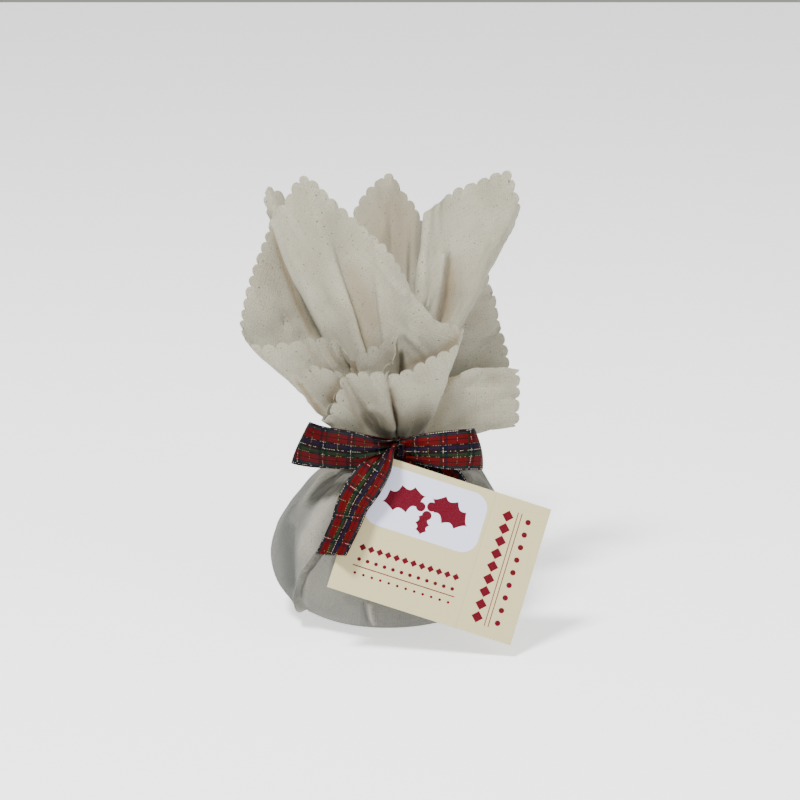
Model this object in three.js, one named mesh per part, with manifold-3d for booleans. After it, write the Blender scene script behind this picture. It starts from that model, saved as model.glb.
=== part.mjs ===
// A Christmas pudding boiled in a calico cloth: the ball in its cloth with the square's corners standing up
// above the tie, a tartan ribbon bow round the neck, and a gift card that leans on the front.
// Millimetres, +Z up. The origin is the centre of the flat spot that the pudding stands on, and the front
// faces -Y.
import * as THREE from "three";
import { mergeVertices } from "three/addons/utils/BufferGeometryUtils.js";
import Module from "manifold-3d";

const wasm = await Module();
wasm.setup();

// ---- Driving sizes ----

const BAG = {
  // [radius, height] of the ball in its cloth, from the flat spot up to the throat above the tie
  profile: [
    [34, 0], [46, 3.5], [56, 10], [64, 19.5], [68.5, 31], [69, 41], [66.5, 53], [62, 63.5],
    [55, 75], [46, 85], [34, 90.5], [24, 93.5], [17, 95.5], [14.2, 98], [13.6, 101], [13.6, 109],
    [11, 113],
  ],
  depthShare: 0.9, // front to back against side to side
  columns: 72,
  plumbUpTo: 30, // height from which the ball starts to lean over to the tie
  pleats: 13, // gathered folds that run down from the tie
  unevenness: [[2, 1.7, 0], [3, 0.9, 1]], // [waves round the ball, radians, phase] that shift pleats
  pleatDepth: 4,
  neckShare: 0.5, // depth of the folds under the ribbon against that on the shoulder
  pleatTop: 92, // height where the folds are deepest
  pleatReach: 46, // how far down they fade out
};
const TIE = new THREE.Vector3(8, 0, 101); // the point of the neck that the hem below is measured from
const THROAT = new THREE.Vector3(8, 0, 109); // where every fold of the crown starts, just above the ribbon
const SAME_POINT = 1e-3; // points nearer than this become one when a solid is closed

const CROWN = {
  lean: 15, // degrees: the sheet's folds are laid out in a frame tipped back by this much
  cloth: 1.3, // thickness of the sheet as a solid
  fullFrom: 0.6, // share of a fold's length from which the sheet has its whole thickness
  thinned: 0.1, // share of that thickness which is left at the throat
  buried: 7, // length of each fold that stays inside the neck
  rows: 7,
  step: 13, // longest stretch of hem between two columns
};

// The hem of the cloth, once round against the clock as seen from above. Each fold or turn of the hem is
// [across, up, back, sag]: millimetres from the tie in the tipped frame, and how far the middle of that fold
// hangs below a straight line from the tie to the hem.
const HEM = {
  leftCorner: [
    [-80, 152, 38, 10], [-78, 132, 38, 12], [-86, 108, 26, 14], [-92, 81, 10, 15], [-91, 62, -6, 13],
  ],
  leftFlap: [
    [-84, 57, -14, 11], [-66, 58, -17, 8], [-50, 60, -19, 6], [-38, 58, -20, 5], [-28, 43, -22, 4],
  ],
  middleFlap: [
    [-25, 50, -16, 3], [-17, 56, -15, 3], [-11, 57, -14, 3], [-4, 62, -12, 3], [-8, 46, -26, 2],
    [-24, 38, -30, 3],
  ],
  leftPleat: [
    [-40, 35, -31, 5], [-59, 37, -29, 6], [-50, 45, -34, 5], [-39, 43, -37, 4], [-32, 38, -36, 3],
  ],
  frontFlap: [
    [-37, 26, -38, 4], [-43, 15, -42, 4], [-39.5, 24, -46, 6], [-36, 31, -47, 5], [-33.5, 39, -46, 4],
    [-25, 42, -48, 4], [-15, 42, -52, 3], [-10, 42, -49, 2], [-9, 37, -35, 1], [-6, 40, -51, 3],
    [3, 43, -56, 4], [17, 49, -55, 6], [31, 55, -51, 8], [37, 63, -46, 8],
  ],
  innerFlap: [
    [33, 67, -39, 6], [25, 70, -30, 4], [20, 73, -22, 3], [10, 84, -14, 2],
  ],
  tallCorner: [
    [2, 96, -4, 2], [-9, 112, 4, 4], [-22, 125, 6, 8], [-37, 139, 4, 12], [-57, 155, -2, 15],
    [-67, 142, 0, 18], [-75, 127, 7, 18],
  ],
  innerFolds: [
    [-65, 116, 18, 16], [-42, 92, 18, 8], [-17, 58, 20, 4], [-6, 42, 16, 0], [10, 78, 14, 0],
    [17, 119, 12, 2],
  ],
  rightCorner: [
    [15, 135, -6, 4], [22, 140, -8, 2], [31, 147, 4, 0], [45, 153, 0, 0], [61.5, 158, 0, 0],
    [65.5, 148, 0, 0], [68.5, 139, 4, 0],
  ],
  rightBack: [
    [59, 122, 32, 0], [51, 102, 48, 0], [56, 85, 56, 0], [60, 65, 58, 0], [63.5, 48, 54, -2],
  ],
  rightFlap: [
    [62, 33, 44, -8], [68, 43, 26, -16], [69, 34, 26, -10], [68.5, 23, 30, -4], [66.5, 12, 36, 0],
    [58, 14, 50, 0],
  ],
  backRight: [
    [45, 15, 58, 0], [33, 30, 56, 0], [28, 24, 64, 0], [20, 44, 60, 0], [24, 60, 68, 0], [14, 76, 62, 0],
    [18, 96, 72, 0], [10, 110, 64, 0], [14, 128, 68, 0],
  ],
  backCorner: [
    [10, 140, 64, 0], [1, 151, 68, 0], [-8, 162, 72, 0], [-19, 154, 68, 0], [-28, 141, 64, 0],
  ],
  backLeft: [
    [-34, 116, 58, 2], [-30, 94, 66, 2], [-42, 78, 56, 4], [-34, 58, 66, 2], [-42, 42, 56, 4],
    [-32, 24, 62, 0], [-45, 22, 50, 2], [-47, 38, 58, 2], [-60, 48, 44, 6], [-57, 64, 56, 6],
    [-70, 78, 42, 10], [-66, 98, 50, 10], [-64, 112, 46, 12], [-59, 130, 50, 12], [-66, 141, 44, 12],
  ],
};

const RIBBON = {
  width: 23,
  thick: 1,
  band: { radius: 14.6, height: 7, middle: 102.5 },
  knot: { centre: [5.5, -26, 106], size: [13, 22, 13] },
  segments: 22, // lengths that each strip is laid in
  bandSegments: 40,
  knotSegments: [18, 12],
};

const CARD = {
  width: 108,
  height: 81,
  thick: 0.7,
  corner: [-10.2, -39.9, 108.6], // its upper left corner
  along: [102.5, -6, -32.6], // towards its upper right corner
  down: [-22.8, -36, -68.5], // roughly towards its lower left corner
  hole: { radius: 2.5, inset: 7, segments: 12 }, // punched in the upper left corner for the ribbon
};

const FINISHES = {
  cloth: { colour: 0xb9b2a2, roughness: 0.95 },
  ribbon_bow: { colour: 0x7a1f24, roughness: 0.6 },
  card: { colour: 0xcfc4a4, roughness: 0.7 },
};

// ---- Solids ----

function manifoldOf(positions, triangles) {
  const mesh = new wasm.Mesh({
    numProp: 3,
    vertProperties: new Float32Array(positions),
    triVerts: new Uint32Array(triangles),
  });
  return new wasm.Manifold(mesh);
}

function solidOf(geometry) {
  const bare = geometry.index ? geometry.toNonIndexed() : geometry.clone();
  bare.deleteAttribute("normal");
  bare.deleteAttribute("uv");
  const merged = mergeVertices(bare, SAME_POINT);
  return manifoldOf(merged.attributes.position.array, merged.index.array);
}

function meshOf(name, solid) {
  const { vertProperties, triVerts } = solid.getMesh();
  const geometry = new THREE.BufferGeometry();
  geometry.setAttribute("position", new THREE.BufferAttribute(vertProperties, 3));
  geometry.setIndex(new THREE.BufferAttribute(triVerts, 1));
  geometry.computeVertexNormals();
  const { colour, roughness } = FINISHES[name];
  const mesh = new THREE.Mesh(geometry, new THREE.MeshStandardMaterial({ color: colour, roughness }));
  mesh.name = name;
  return mesh;
}

// A closed solid from rings of points: neighbouring rings are joined, and each end is closed by a fan.
function ringsSolid(rings) {
  const count = rings[0].length;
  const points = rings.flat();
  const triangles = [];
  for (let i = 0; i + 1 < rings.length; i++) {
    for (let j = 0; j < count; j++) {
      const k = (j + 1) % count;
      const [a, b, c, d] = [i * count + j, i * count + k, (i + 1) * count + k, (i + 1) * count + j];
      triangles.push(a, b, c, a, c, d);
    }
  }
  for (const [ring, flip] of [[0, true], [rings.length - 1, false]]) {
    const middle = points.length;
    points.push(rings[ring].reduce((sum, p) => sum.add(p), new THREE.Vector3()).divideScalar(count));
    for (let j = 0; j < count; j++) {
      const [a, b] = [ring * count + j, ring * count + ((j + 1) % count)];
      triangles.push(...(flip ? [b, a, middle] : [a, b, middle]));
    }
  }
  return manifoldOf(points.flatMap((p) => p.toArray()), triangles);
}

// ---- The ball in its cloth ----

function pleatAt(angle, height) {
  const { pleats, unevenness, pleatDepth, pleatTop, pleatReach } = BAG;
  const fade = THREE.MathUtils.clamp(1 - (pleatTop - height) / pleatReach, 0, 1);
  const shift = unevenness
    .map(([waves, size, phase]) => size * Math.sin(waves * angle + phase))
    .reduce((sum, part) => sum + part);
  const wave = Math.sin(pleats * angle + shift);
  const atNeck = height > pleatTop ? BAG.neckShare : 1;
  return -pleatDepth * fade * fade * atNeck * (0.5 + 0.5 * wave);
}

function bagSolid() {
  const crest = BAG.profile.at(-1)[1];
  const rings = BAG.profile.map(([radius, height]) => {
    const towardsTie = THREE.MathUtils.smoothstep(height, BAG.plumbUpTo, TIE.z);
    return Array.from({ length: BAG.columns }, (_, j) => {
      const angle = (2 * Math.PI * j) / BAG.columns;
      const reach = radius + (height > 0 && height < crest ? pleatAt(angle, height) : 0);
      return new THREE.Vector3(
        TIE.x * towardsTie + reach * Math.cos(angle),
        reach * Math.sin(angle) * BAG.depthShare,
        height,
      );
    });
  });
  return ringsSolid(rings);
}

// ---- The crown ----

// A point of the tipped frame, from the tie, in the part's own frame.
function fromTie(across, up, back) {
  const lean = THREE.MathUtils.degToRad(CROWN.lean);
  return new THREE.Vector3(
    across,
    up * Math.sin(lean) + back * Math.cos(lean),
    up * Math.cos(lean) - back * Math.sin(lean),
  );
}

// The hem's turns joined by a smooth closed curve, as [point, sag] at each column.
function hemColumns() {
  const turns = Object.values(HEM).flat();
  const points = turns.map(([across, up, back]) => fromTie(across, up, back).add(TIE));
  const curve = new THREE.CatmullRomCurve3(points, true, "centripetal");
  const columns = [];
  points.forEach((point, i) => {
    const next = (i + 1) % points.length;
    const pieces = Math.ceil(point.distanceTo(points[next]) / CROWN.step);
    for (let k = 0; k < pieces; k++) {
      const t = (i + k / pieces) / points.length;
      columns.push([curve.getPoint(t), THREE.MathUtils.lerp(turns[i][3], turns[next][3], k / pieces)]);
    }
  });
  return columns;
}

// A point of the fold that runs from the throat to a point of the hem.
function strandPoint(hem, sag, share) {
  const drop = fromTie(0, -1, 0).multiplyScalar(4 * share * (1 - share) * sag);
  return new THREE.Vector3().lerpVectors(THROAT, hem, share).add(drop);
}

function crownSolid() {
  const columns = hemColumns();
  const count = columns.length;
  const shares = Array.from({ length: CROWN.rows }, (_, i) => i / (CROWN.rows - 1));
  const middle = shares.map((share) =>
    columns.map(([hem, sag]) =>
      strandPoint(hem, sag, THREE.MathUtils.lerp(CROWN.buried / hem.distanceTo(THROAT), 1, share)),
    ),
  );
  const offset = (i, j, side) => {
    const along = new THREE.Vector3().subVectors(
      middle[i][(j + 1) % count],
      middle[i][(j + count - 1) % count],
    );
    const out = new THREE.Vector3().subVectors(
      middle[Math.min(i + 1, CROWN.rows - 1)][j],
      middle[Math.max(i - 1, 0)][j],
    );
    const normal = along.cross(out).normalize();
    const half = (CROWN.cloth / 2) * Math.min(1, CROWN.thinned + shares[i] / CROWN.fullFrom);
    return middle[i][j].clone().addScaledVector(normal, side * half);
  };
  const loop = [
    ...shares.map((_, i) => [i, 1]),
    ...shares.map((_, i) => [CROWN.rows - 1 - i, -1]),
  ];
  const points = loop.flatMap(([i, side]) => columns.map((_, j) => offset(i, j, side)));
  const triangles = [];
  loop.forEach((_, i) => {
    const next = (i + 1) % loop.length;
    for (let j = 0; j < count; j++) {
      const k = (j + 1) % count;
      const [a, b, c, d] = [i * count + j, i * count + k, next * count + k, next * count + j];
      triangles.push(a, b, c, a, c, d);
    }
  });
  return manifoldOf(points.flatMap((p) => p.toArray()), triangles);
}

// ---- The ribbon ----

// A flat strip of ribbon through a list of [centre, across] stations, where across points over its width.
function stripSolid(stations, width) {
  const centres = new THREE.CatmullRomCurve3(stations.map(([centre]) => new THREE.Vector3(...centre)));
  const acrosses = new THREE.CatmullRomCurve3(stations.map(([, across]) => new THREE.Vector3(...across)));
  const rings = [];
  for (let i = 0; i <= RIBBON.segments; i++) {
    const t = i / RIBBON.segments;
    const centre = centres.getPoint(t);
    const tangent = centres.getTangent(t);
    const across = acrosses.getPoint(t);
    const half = (across.length() * width) / 2;
    across.addScaledVector(tangent, -across.dot(tangent)).normalize();
    const face = new THREE.Vector3().crossVectors(tangent, across).normalize();
    const corner = (w, t2) =>
      centre.clone().addScaledVector(across, w * half).addScaledVector(face, (t2 * RIBBON.thick) / 2);
    rings.push([corner(-1, -1), corner(1, -1), corner(1, 1), corner(-1, 1)]);
  }
  return ringsSolid(rings);
}

function bandSolid() {
  const { radius, height } = RIBBON.band;
  const half = height / 2;
  const outer = radius + RIBBON.thick;
  const section = [[radius, -half], [outer, -half], [outer, half], [radius, half], [radius, -half]];
  const ring = new THREE.LatheGeometry(section.map(([r, z]) => new THREE.Vector2(r, z)), RIBBON.bandSegments);
  ring.rotateX(Math.PI / 2);
  ring.translate(TIE.x, TIE.y, RIBBON.band.middle);
  return solidOf(ring);
}

function knotSolid() {
  const { centre, size } = RIBBON.knot;
  const knot = new THREE.SphereGeometry(1 / 2, ...RIBBON.knotSegments);
  knot.scale(...size);
  knot.translate(...centre);
  return solidOf(knot);
}

// Stations of [centre, across] for each strip of the bow; the length of across scales the ribbon's width.
const BOW = {
  leftLoop: [
    [[5, -32, 109], [0, 0, 0.35]], [[-4, -46.2, 111.8], [0, -0.05, 0.48]],
    [[-14, -47, 111], [0, -0.05, 0.9]], [[-25, -46, 111.5], [0.1, 0, 1]], [[-38, -43, 112.3], [0.25, 0, 1]],
    [[-48, -35, 112], [0.45, 0, 1]], [[-47, -29, 109], [0.45, 0, 1]], [[-33, -25, 106], [0.2, 0, 1]],
    [[-16, -23, 105], [0, 0, 0.8]], [[3, -23, 105], [0, 0, 0.5]],
  ],
  rightLoop: [
    [[6, -28, 106], [0, 0, 0.5]], [[22, -40, 109.5], [0, -0.1, 0.85]], [[36, -42, 110], [-0.1, 0, 1]],
    [[45.5, -39, 109.5], [-0.2, 0, 1]], [[50.5, -33, 108], [-0.27, 0, 1]], [[49, -27, 106], [-0.27, 0, 1]],
    [[38, -24, 104], [-0.1, 0, 1]], [[22, -22, 104], [0, 0, 0.8]], [[8, -22, 105], [0, 0, 0.5]],
  ],
  leftTail: [
    [[5, -33, 108], [0.2, 0, 0.3]], [[1.5, -44, 110], [0.3, 0, 0.3]], [[-3, -49.5, 106.6], [0.5, 0, 0.3]],
    [[-10.9, -53.4, 96.2], [0.72, -0.5, 0.2]], [[-19.2, -57.2, 83.8], [0.72, -0.64, 0.18]],
    [[-23.6, -63.1, 72.9], [0.72, -0.66, 0.18]], [[-31.6, -71.4, 57.6], [0.72, -0.66, 0.18]],
  ],
  rightTail: [
    [[7, -27, 103], [0.3, 0.1, -0.3]], [[16, -32, 100], [0.4, 0.2, 0.1]],
    [[25, -35, 95.5], [0.7, 0.25, 0.5]], [[33, -39.8, 88.4], [0.75, 0.2, 0.6]],
    [[38, -43.5, 80.4], [0.75, 0.2, 0.6]],
  ],
};

function bowSolid() {
  const strips = Object.values(BOW).map((stations) => stripSolid(stations, RIBBON.width));
  return strips.reduce((whole, strip) => whole.add(strip), bandSolid().add(knotSolid()));
}

// ---- The card ----

function cardSolid() {
  const { width, height, thick, hole } = CARD;
  const outline = new THREE.Shape([
    new THREE.Vector2(0, 0), new THREE.Vector2(0, -height), new THREE.Vector2(width, -height),
    new THREE.Vector2(width, 0),
  ]);
  const punch = new THREE.Path();
  punch.absarc(hole.inset, -hole.inset, hole.radius, 0, 2 * Math.PI);
  outline.holes.push(punch);
  const options = { depth: thick, bevelEnabled: false, curveSegments: hole.segments };
  const card = new THREE.ExtrudeGeometry(outline, options);
  const right = new THREE.Vector3(...CARD.along).normalize();
  const front = new THREE.Vector3(...CARD.down).cross(right).normalize();
  const up = new THREE.Vector3().crossVectors(front, right);
  card.applyMatrix4(new THREE.Matrix4().makeBasis(right, up, front).setPosition(...CARD.corner));
  return solidOf(card);
}

// ---- The part ----

const pudding = new THREE.Group();
pudding.add(
  meshOf("cloth", bagSolid().add(crownSolid())),
  meshOf("ribbon_bow", bowSolid()),
  meshOf("card", cardSolid()),
);

export default pudding;
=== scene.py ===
"""A Christmas pudding tied in a calico cloth, with a tartan ribbon bow and a gift card.

The ball hangs in a square of unbleached calico whose pinked hem stands up above the tie in folds. Lengths in
the tables are millimetres in the part's own frame and become metres where the meshes are made.
"""

from __future__ import annotations

import logging
import math
from dataclasses import dataclass, field
from enum import Enum
from typing import Sequence, Union

import bpy
import numpy as np
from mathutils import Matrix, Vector, noise
from mathutils.bvhtree import BVHTree

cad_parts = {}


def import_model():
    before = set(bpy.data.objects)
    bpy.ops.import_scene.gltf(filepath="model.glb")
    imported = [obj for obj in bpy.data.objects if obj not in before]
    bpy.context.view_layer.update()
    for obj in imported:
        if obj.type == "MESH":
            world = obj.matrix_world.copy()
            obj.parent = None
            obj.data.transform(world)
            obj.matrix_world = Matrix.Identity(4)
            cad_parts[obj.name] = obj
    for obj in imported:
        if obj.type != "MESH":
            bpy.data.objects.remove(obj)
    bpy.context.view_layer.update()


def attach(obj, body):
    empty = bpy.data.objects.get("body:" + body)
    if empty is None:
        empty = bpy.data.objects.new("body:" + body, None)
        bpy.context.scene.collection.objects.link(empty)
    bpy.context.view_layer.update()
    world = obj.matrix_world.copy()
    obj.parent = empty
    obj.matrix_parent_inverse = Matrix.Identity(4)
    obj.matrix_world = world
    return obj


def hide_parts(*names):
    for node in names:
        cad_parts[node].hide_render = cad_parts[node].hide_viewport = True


LOG = logging.getLogger("pudding")
MM = 0.001
TIE = np.array([8.0, 0.0, 101.0])
THROAT = np.array([8.0, 0.0, 109.0])
TIED = 205.0  # how far the tie lies from the middle of the flat cloth
SCORE = 75.6  # how far the card's score line lies from its left edge
LEAN = 15.0  # how far the front view looks down, in degrees
DISTANCE = 1600.0  # how far off the front view stands, in millimetres
FLAT = "flat"  # the attribute that holds a point's place on the flat cloth, ribbon or card, in metres
SHADE = "shade"  # the attribute that holds how much darker a point is painted, from 0 to 1: painted shade in folds and hollows, and on the ball also its one layer over the pudding
OBLIQUE = (0.3, 0.5, 0.8)  # a direction that lies askew to everything, to set sideways directions by
GOLDEN = 2.39996  # the golden angle in radians, which spreads directions evenly

# ---- Shader expressions ----


class Channel:
    """A number output of a shader node that can be used in arithmetic."""

    def __init__(self, graph: "Graph", socket: bpy.types.NodeSocket) -> None:
        """Keep the material's graph and the node output that this channel stands for."""
        self.graph = graph
        self.socket = socket

    def _math(self, operation: str, *values: "Value") -> "Channel":
        """Return the result of a Math node with its operands in order."""
        return self.graph.node("ShaderNodeMath", {"operation": operation}, dict(enumerate(values)))

    def __add__(self, other: "Value") -> "Channel":
        """Return the sum."""
        return self._math("ADD", self, other)

    __radd__ = __add__

    def __sub__(self, other: "Value") -> "Channel":
        """Return this less other."""
        return self._math("SUBTRACT", self, other)

    def __rsub__(self, other: "Value") -> "Channel":
        """Return other less this."""
        return self._math("SUBTRACT", other, self)

    def __mul__(self, other: "Value") -> "Channel":
        """Return the product."""
        return self._math("MULTIPLY", self, other)

    __rmul__ = __mul__

    def __truediv__(self, other: "Value") -> "Channel":
        """Return this over other."""
        return self._math("DIVIDE", self, other)

    def __pow__(self, other: "Value") -> "Channel":
        """Return this to the power of other."""
        return self._math("POWER", self, other)

    def __lt__(self, other: "Value") -> "Channel":
        """Return 1 where this is less than other, and 0 elsewhere."""
        return self._math("LESS_THAN", self, other)

    def __gt__(self, other: "Value") -> "Channel":
        """Return 1 where this is greater than other, and 0 elsewhere."""
        return self._math("GREATER_THAN", self, other)

    def __abs__(self) -> "Channel":
        """Return the size without its sign."""
        return self._math("ABSOLUTE", self)

    def sine(self) -> "Channel":
        """Return the sine."""
        return self._math("SINE", self)

    def fraction(self) -> "Channel":
        """Return the part after the point."""
        return self._math("FRACT", self)

    def root(self) -> "Channel":
        """Return the square root."""
        return self._math("SQRT", self)

    def least(self, other: "Value") -> "Channel":
        """Return the smaller of the two."""
        return self._math("MINIMUM", self, other)

    def most(self, other: "Value") -> "Channel":
        """Return the larger of the two."""
        return self._math("MAXIMUM", self, other)

    def rise(self, start: float, end: float) -> "Channel":
        """Return a smooth step from 0 at start to 1 at end.

        Args:
            start: where the step begins.
            end: where it is done; less than start for a fall.

        Returns:
            The step as a channel.
        """
        low, high = min(start, end), max(start, end)
        step = self.graph.node(
            "ShaderNodeMapRange",
            {"interpolation_type": "SMOOTHSTEP"},
            {"Value": self, "From Min": low, "From Max": high},
        )
        return step if start < end else 1 - step


Value = Union[Channel, float, int, Sequence[float]]


class Graph:
    """The node graph of one material, with its Principled shader."""

    def __init__(self, name: str, **constants: Union[float, Sequence[float]]) -> None:
        """Make an empty material with one shader.

        Args:
            name: the material's name.
            constants: values for the shader's own sockets, with underscores for the spaces in their names.
        """
        self.material = bpy.data.materials.new(name)
        self.material.use_nodes = True
        self.tree = self.material.node_tree
        self.tree.nodes.clear()
        output = self.tree.nodes.new("ShaderNodeOutputMaterial")
        self.shader = self.tree.nodes.new("ShaderNodeBsdfPrincipled")
        self.tree.links.new(self.shader.outputs["BSDF"], output.inputs["Surface"])
        for key, value in constants.items():
            self.shader.inputs[key.replace("_", " ")].default_value = value

    def node(
        self,
        kind: str,
        settings: dict[str, object] | None = None,
        values: dict[Union[str, int], Value] | None = None,
        output: Union[str, int] = 0,
    ) -> Channel:
        """Add a node.

        Args:
            kind: the node's type.
            settings: its properties, which are set first.
            values: numbers, colours or channels for its inputs by name or place.
            output: the output to return.

        Returns:
            The chosen output.
        """
        node = self.tree.nodes.new(kind)
        for key, setting in (settings or {}).items():
            setattr(node, key, setting)
        for key, value in (values or {}).items():
            if isinstance(value, Channel):
                self.tree.links.new(value.socket, node.inputs[key])
            else:
                node.inputs[key].default_value = value
        return Channel(self, node.outputs[output])

    def mix(self, factor: Value, first: Value, second: Value) -> Channel:
        """Return a mix of two colours, all of the first at a factor of 0."""
        return self.node("ShaderNodeMix", {"data_type": "RGBA"}, {0: factor, 6: first, 7: second}, 2)

    def attribute(self, name: str, output: str = "Vector") -> Channel:
        """Return an attribute of the mesh from its Vector output, or from Fac for a number."""
        return self.node("ShaderNodeAttribute", {"attribute_name": name}, {}, output)

    def scaled(self, vector: Channel, scale: Sequence[float]) -> Channel:
        """Return the vector with each axis multiplied by its own number."""
        return self.node("ShaderNodeVectorMath", {"operation": "MULTIPLY"}, {0: vector, 1: scale})

    def split(self, vector: Channel) -> tuple[Channel, Channel, Channel]:
        """Take a vector apart.

        Args:
            vector: the vector.

        Returns:
            Its x, y and z.
        """
        first = self.node("ShaderNodeSeparateXYZ", {}, {0: vector})
        outputs = first.socket.node.outputs
        return first, Channel(self, outputs[1]), Channel(self, outputs[2])

    def grain(self, vector: Channel, scale: float, detail: float = 2.0, rough: float = 0.5) -> Channel:
        """Return noise about 0.5 with so many lumps in one unit of the vector."""
        values = {"Vector": vector, "Scale": scale, "Detail": detail, "Roughness": rough}
        return self.node("ShaderNodeTexNoise", {}, values)

    def feed(self, **channels: Channel) -> None:
        """Link channels to the shader's sockets, named with underscores for spaces."""
        for key, channel in channels.items():
            self.tree.links.new(channel.socket, self.shader.inputs[key.replace("_", " ")])

    def bump(self, height: Channel, distance: float, strength: float = 1.0) -> None:
        """Raise the surface by a height of 0 to 1 times a distance in metres."""
        values = {"Strength": strength, "Distance": distance, "Height": height}
        self.feed(Normal=self.node("ShaderNodeBump", {}, values, "Normal"))


# ---- Finishes ----


@dataclass(frozen=True)
class Fleck:
    """Specks of seed husk: cells in a metre, their size in a cell, how many show and how well."""

    cells: float
    size: float
    share: float
    strength: float


@dataclass(frozen=True)
class CalicoFinish:
    """Unbleached cotton calico: a plain weave with slubs and flecks of seed husk."""

    name: str = "calico"
    pale: tuple[float, float, float, float] = (0.37, 0.362, 0.285, 1)
    dull: tuple[float, float, float, float] = (0.30, 0.293, 0.225, 1)
    tan_and_painted_shade: tuple[float, float, float, float] = (0.2, 0.145, 0.08, 1)
    husk: tuple[float, float, float, float] = (0.05, 0.035, 0.02, 1)
    shade_strength: float = 0.75
    thread: float = 0.00055
    cloud: float = 26.0
    slub: float = 25.0
    speckle: float = 1300.0
    fuzz: float = 900.0
    thread_tan: float = 0.22
    speckle_tan: float = 0.35
    relief: float = 0.0006
    flecks: tuple[Fleck, ...] = (
        Fleck(170, 0.1, 0.3, 0.9),
        Fleck(95, 0.06, 0.3, 0.7),
        Fleck(300, 0.12, 0.2, 0.9),
    )

    def material(self) -> bpy.types.Material:
        """Make the material.

        Returns:
            The calico.
        """
        graph = Graph(self.name, Roughness=0.95, Sheen_Weight=0.12, Specular_IOR_Level=0.15)
        flat = graph.attribute(FLAT)
        shade = graph.attribute(SHADE, "Fac")
        across, along, _ = graph.split(flat)
        cloudy = graph.grain(flat, self.cloud, 3)
        warp = graph.grain(graph.scaled(flat, (1 / self.thread, self.slub, 1)), 1, 1)
        weft = graph.grain(graph.scaled(flat, (self.slub, 1 / self.thread, 1)), 1, 1)
        colour = graph.mix(cloudy.rise(0.3, 0.7), self.pale, self.dull)
        colour = graph.mix(warp.least(weft).rise(0.46, 0.3) * self.thread_tan, colour, self.tan_and_painted_shade)
        speckle = graph.grain(flat, self.speckle, 1, 0.6)
        colour = graph.mix(speckle.rise(0.35, 0.65) * self.speckle_tan, colour, self.tan_and_painted_shade)
        # painted shade: the shade attribute darkens the colour towards the tan tone in folds and hollows
        colour = graph.mix(shade * self.shade_strength, colour, self.tan_and_painted_shade)
        for fleck in self.flecks:
            spots = graph.node(
                "ShaderNodeTexVoronoi",
                {"voronoi_dimensions": "2D"},
                {"Vector": flat, "Scale": fleck.cells, "Randomness": 1.0},
                "Distance",
            )
            chance = Channel(graph, spots.socket.node.outputs["Color"])
            odds, other, _ = graph.split(chance)
            spot = spots.rise(fleck.size, fleck.size * 0.4) * (odds < fleck.share) * (0.35 + 0.65 * other)
            colour = graph.mix(spot * fleck.strength, colour, self.husk)
        turn = math.pi / self.thread
        weave = (across * turn).sine() * (along * turn).sine() * 0.25 + 0.5
        fuzz = graph.grain(flat, self.fuzz, 3, 0.65)
        height = (weave + warp + weft) * 0.4 + fuzz * 0.7
        graph.feed(Base_Color=colour)
        graph.bump(height, self.relief)
        return graph.material


@dataclass(frozen=True)
class Stripe:
    """One band of the tartan."""

    middle: float
    width: float
    colour: tuple[float, float, float, float]


RED = (0.075, 0.0004, 0.001, 1)
NAVY = (0.002, 0.003, 0.018, 1)
BLACK = (0.0015, 0.0015, 0.002, 1)
GREEN = (0.0015, 0.022, 0.007, 1)
WHITE = (0.44, 0.41, 0.35, 1)
GOLD = (0.26, 0.19, 0.08, 1)


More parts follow.
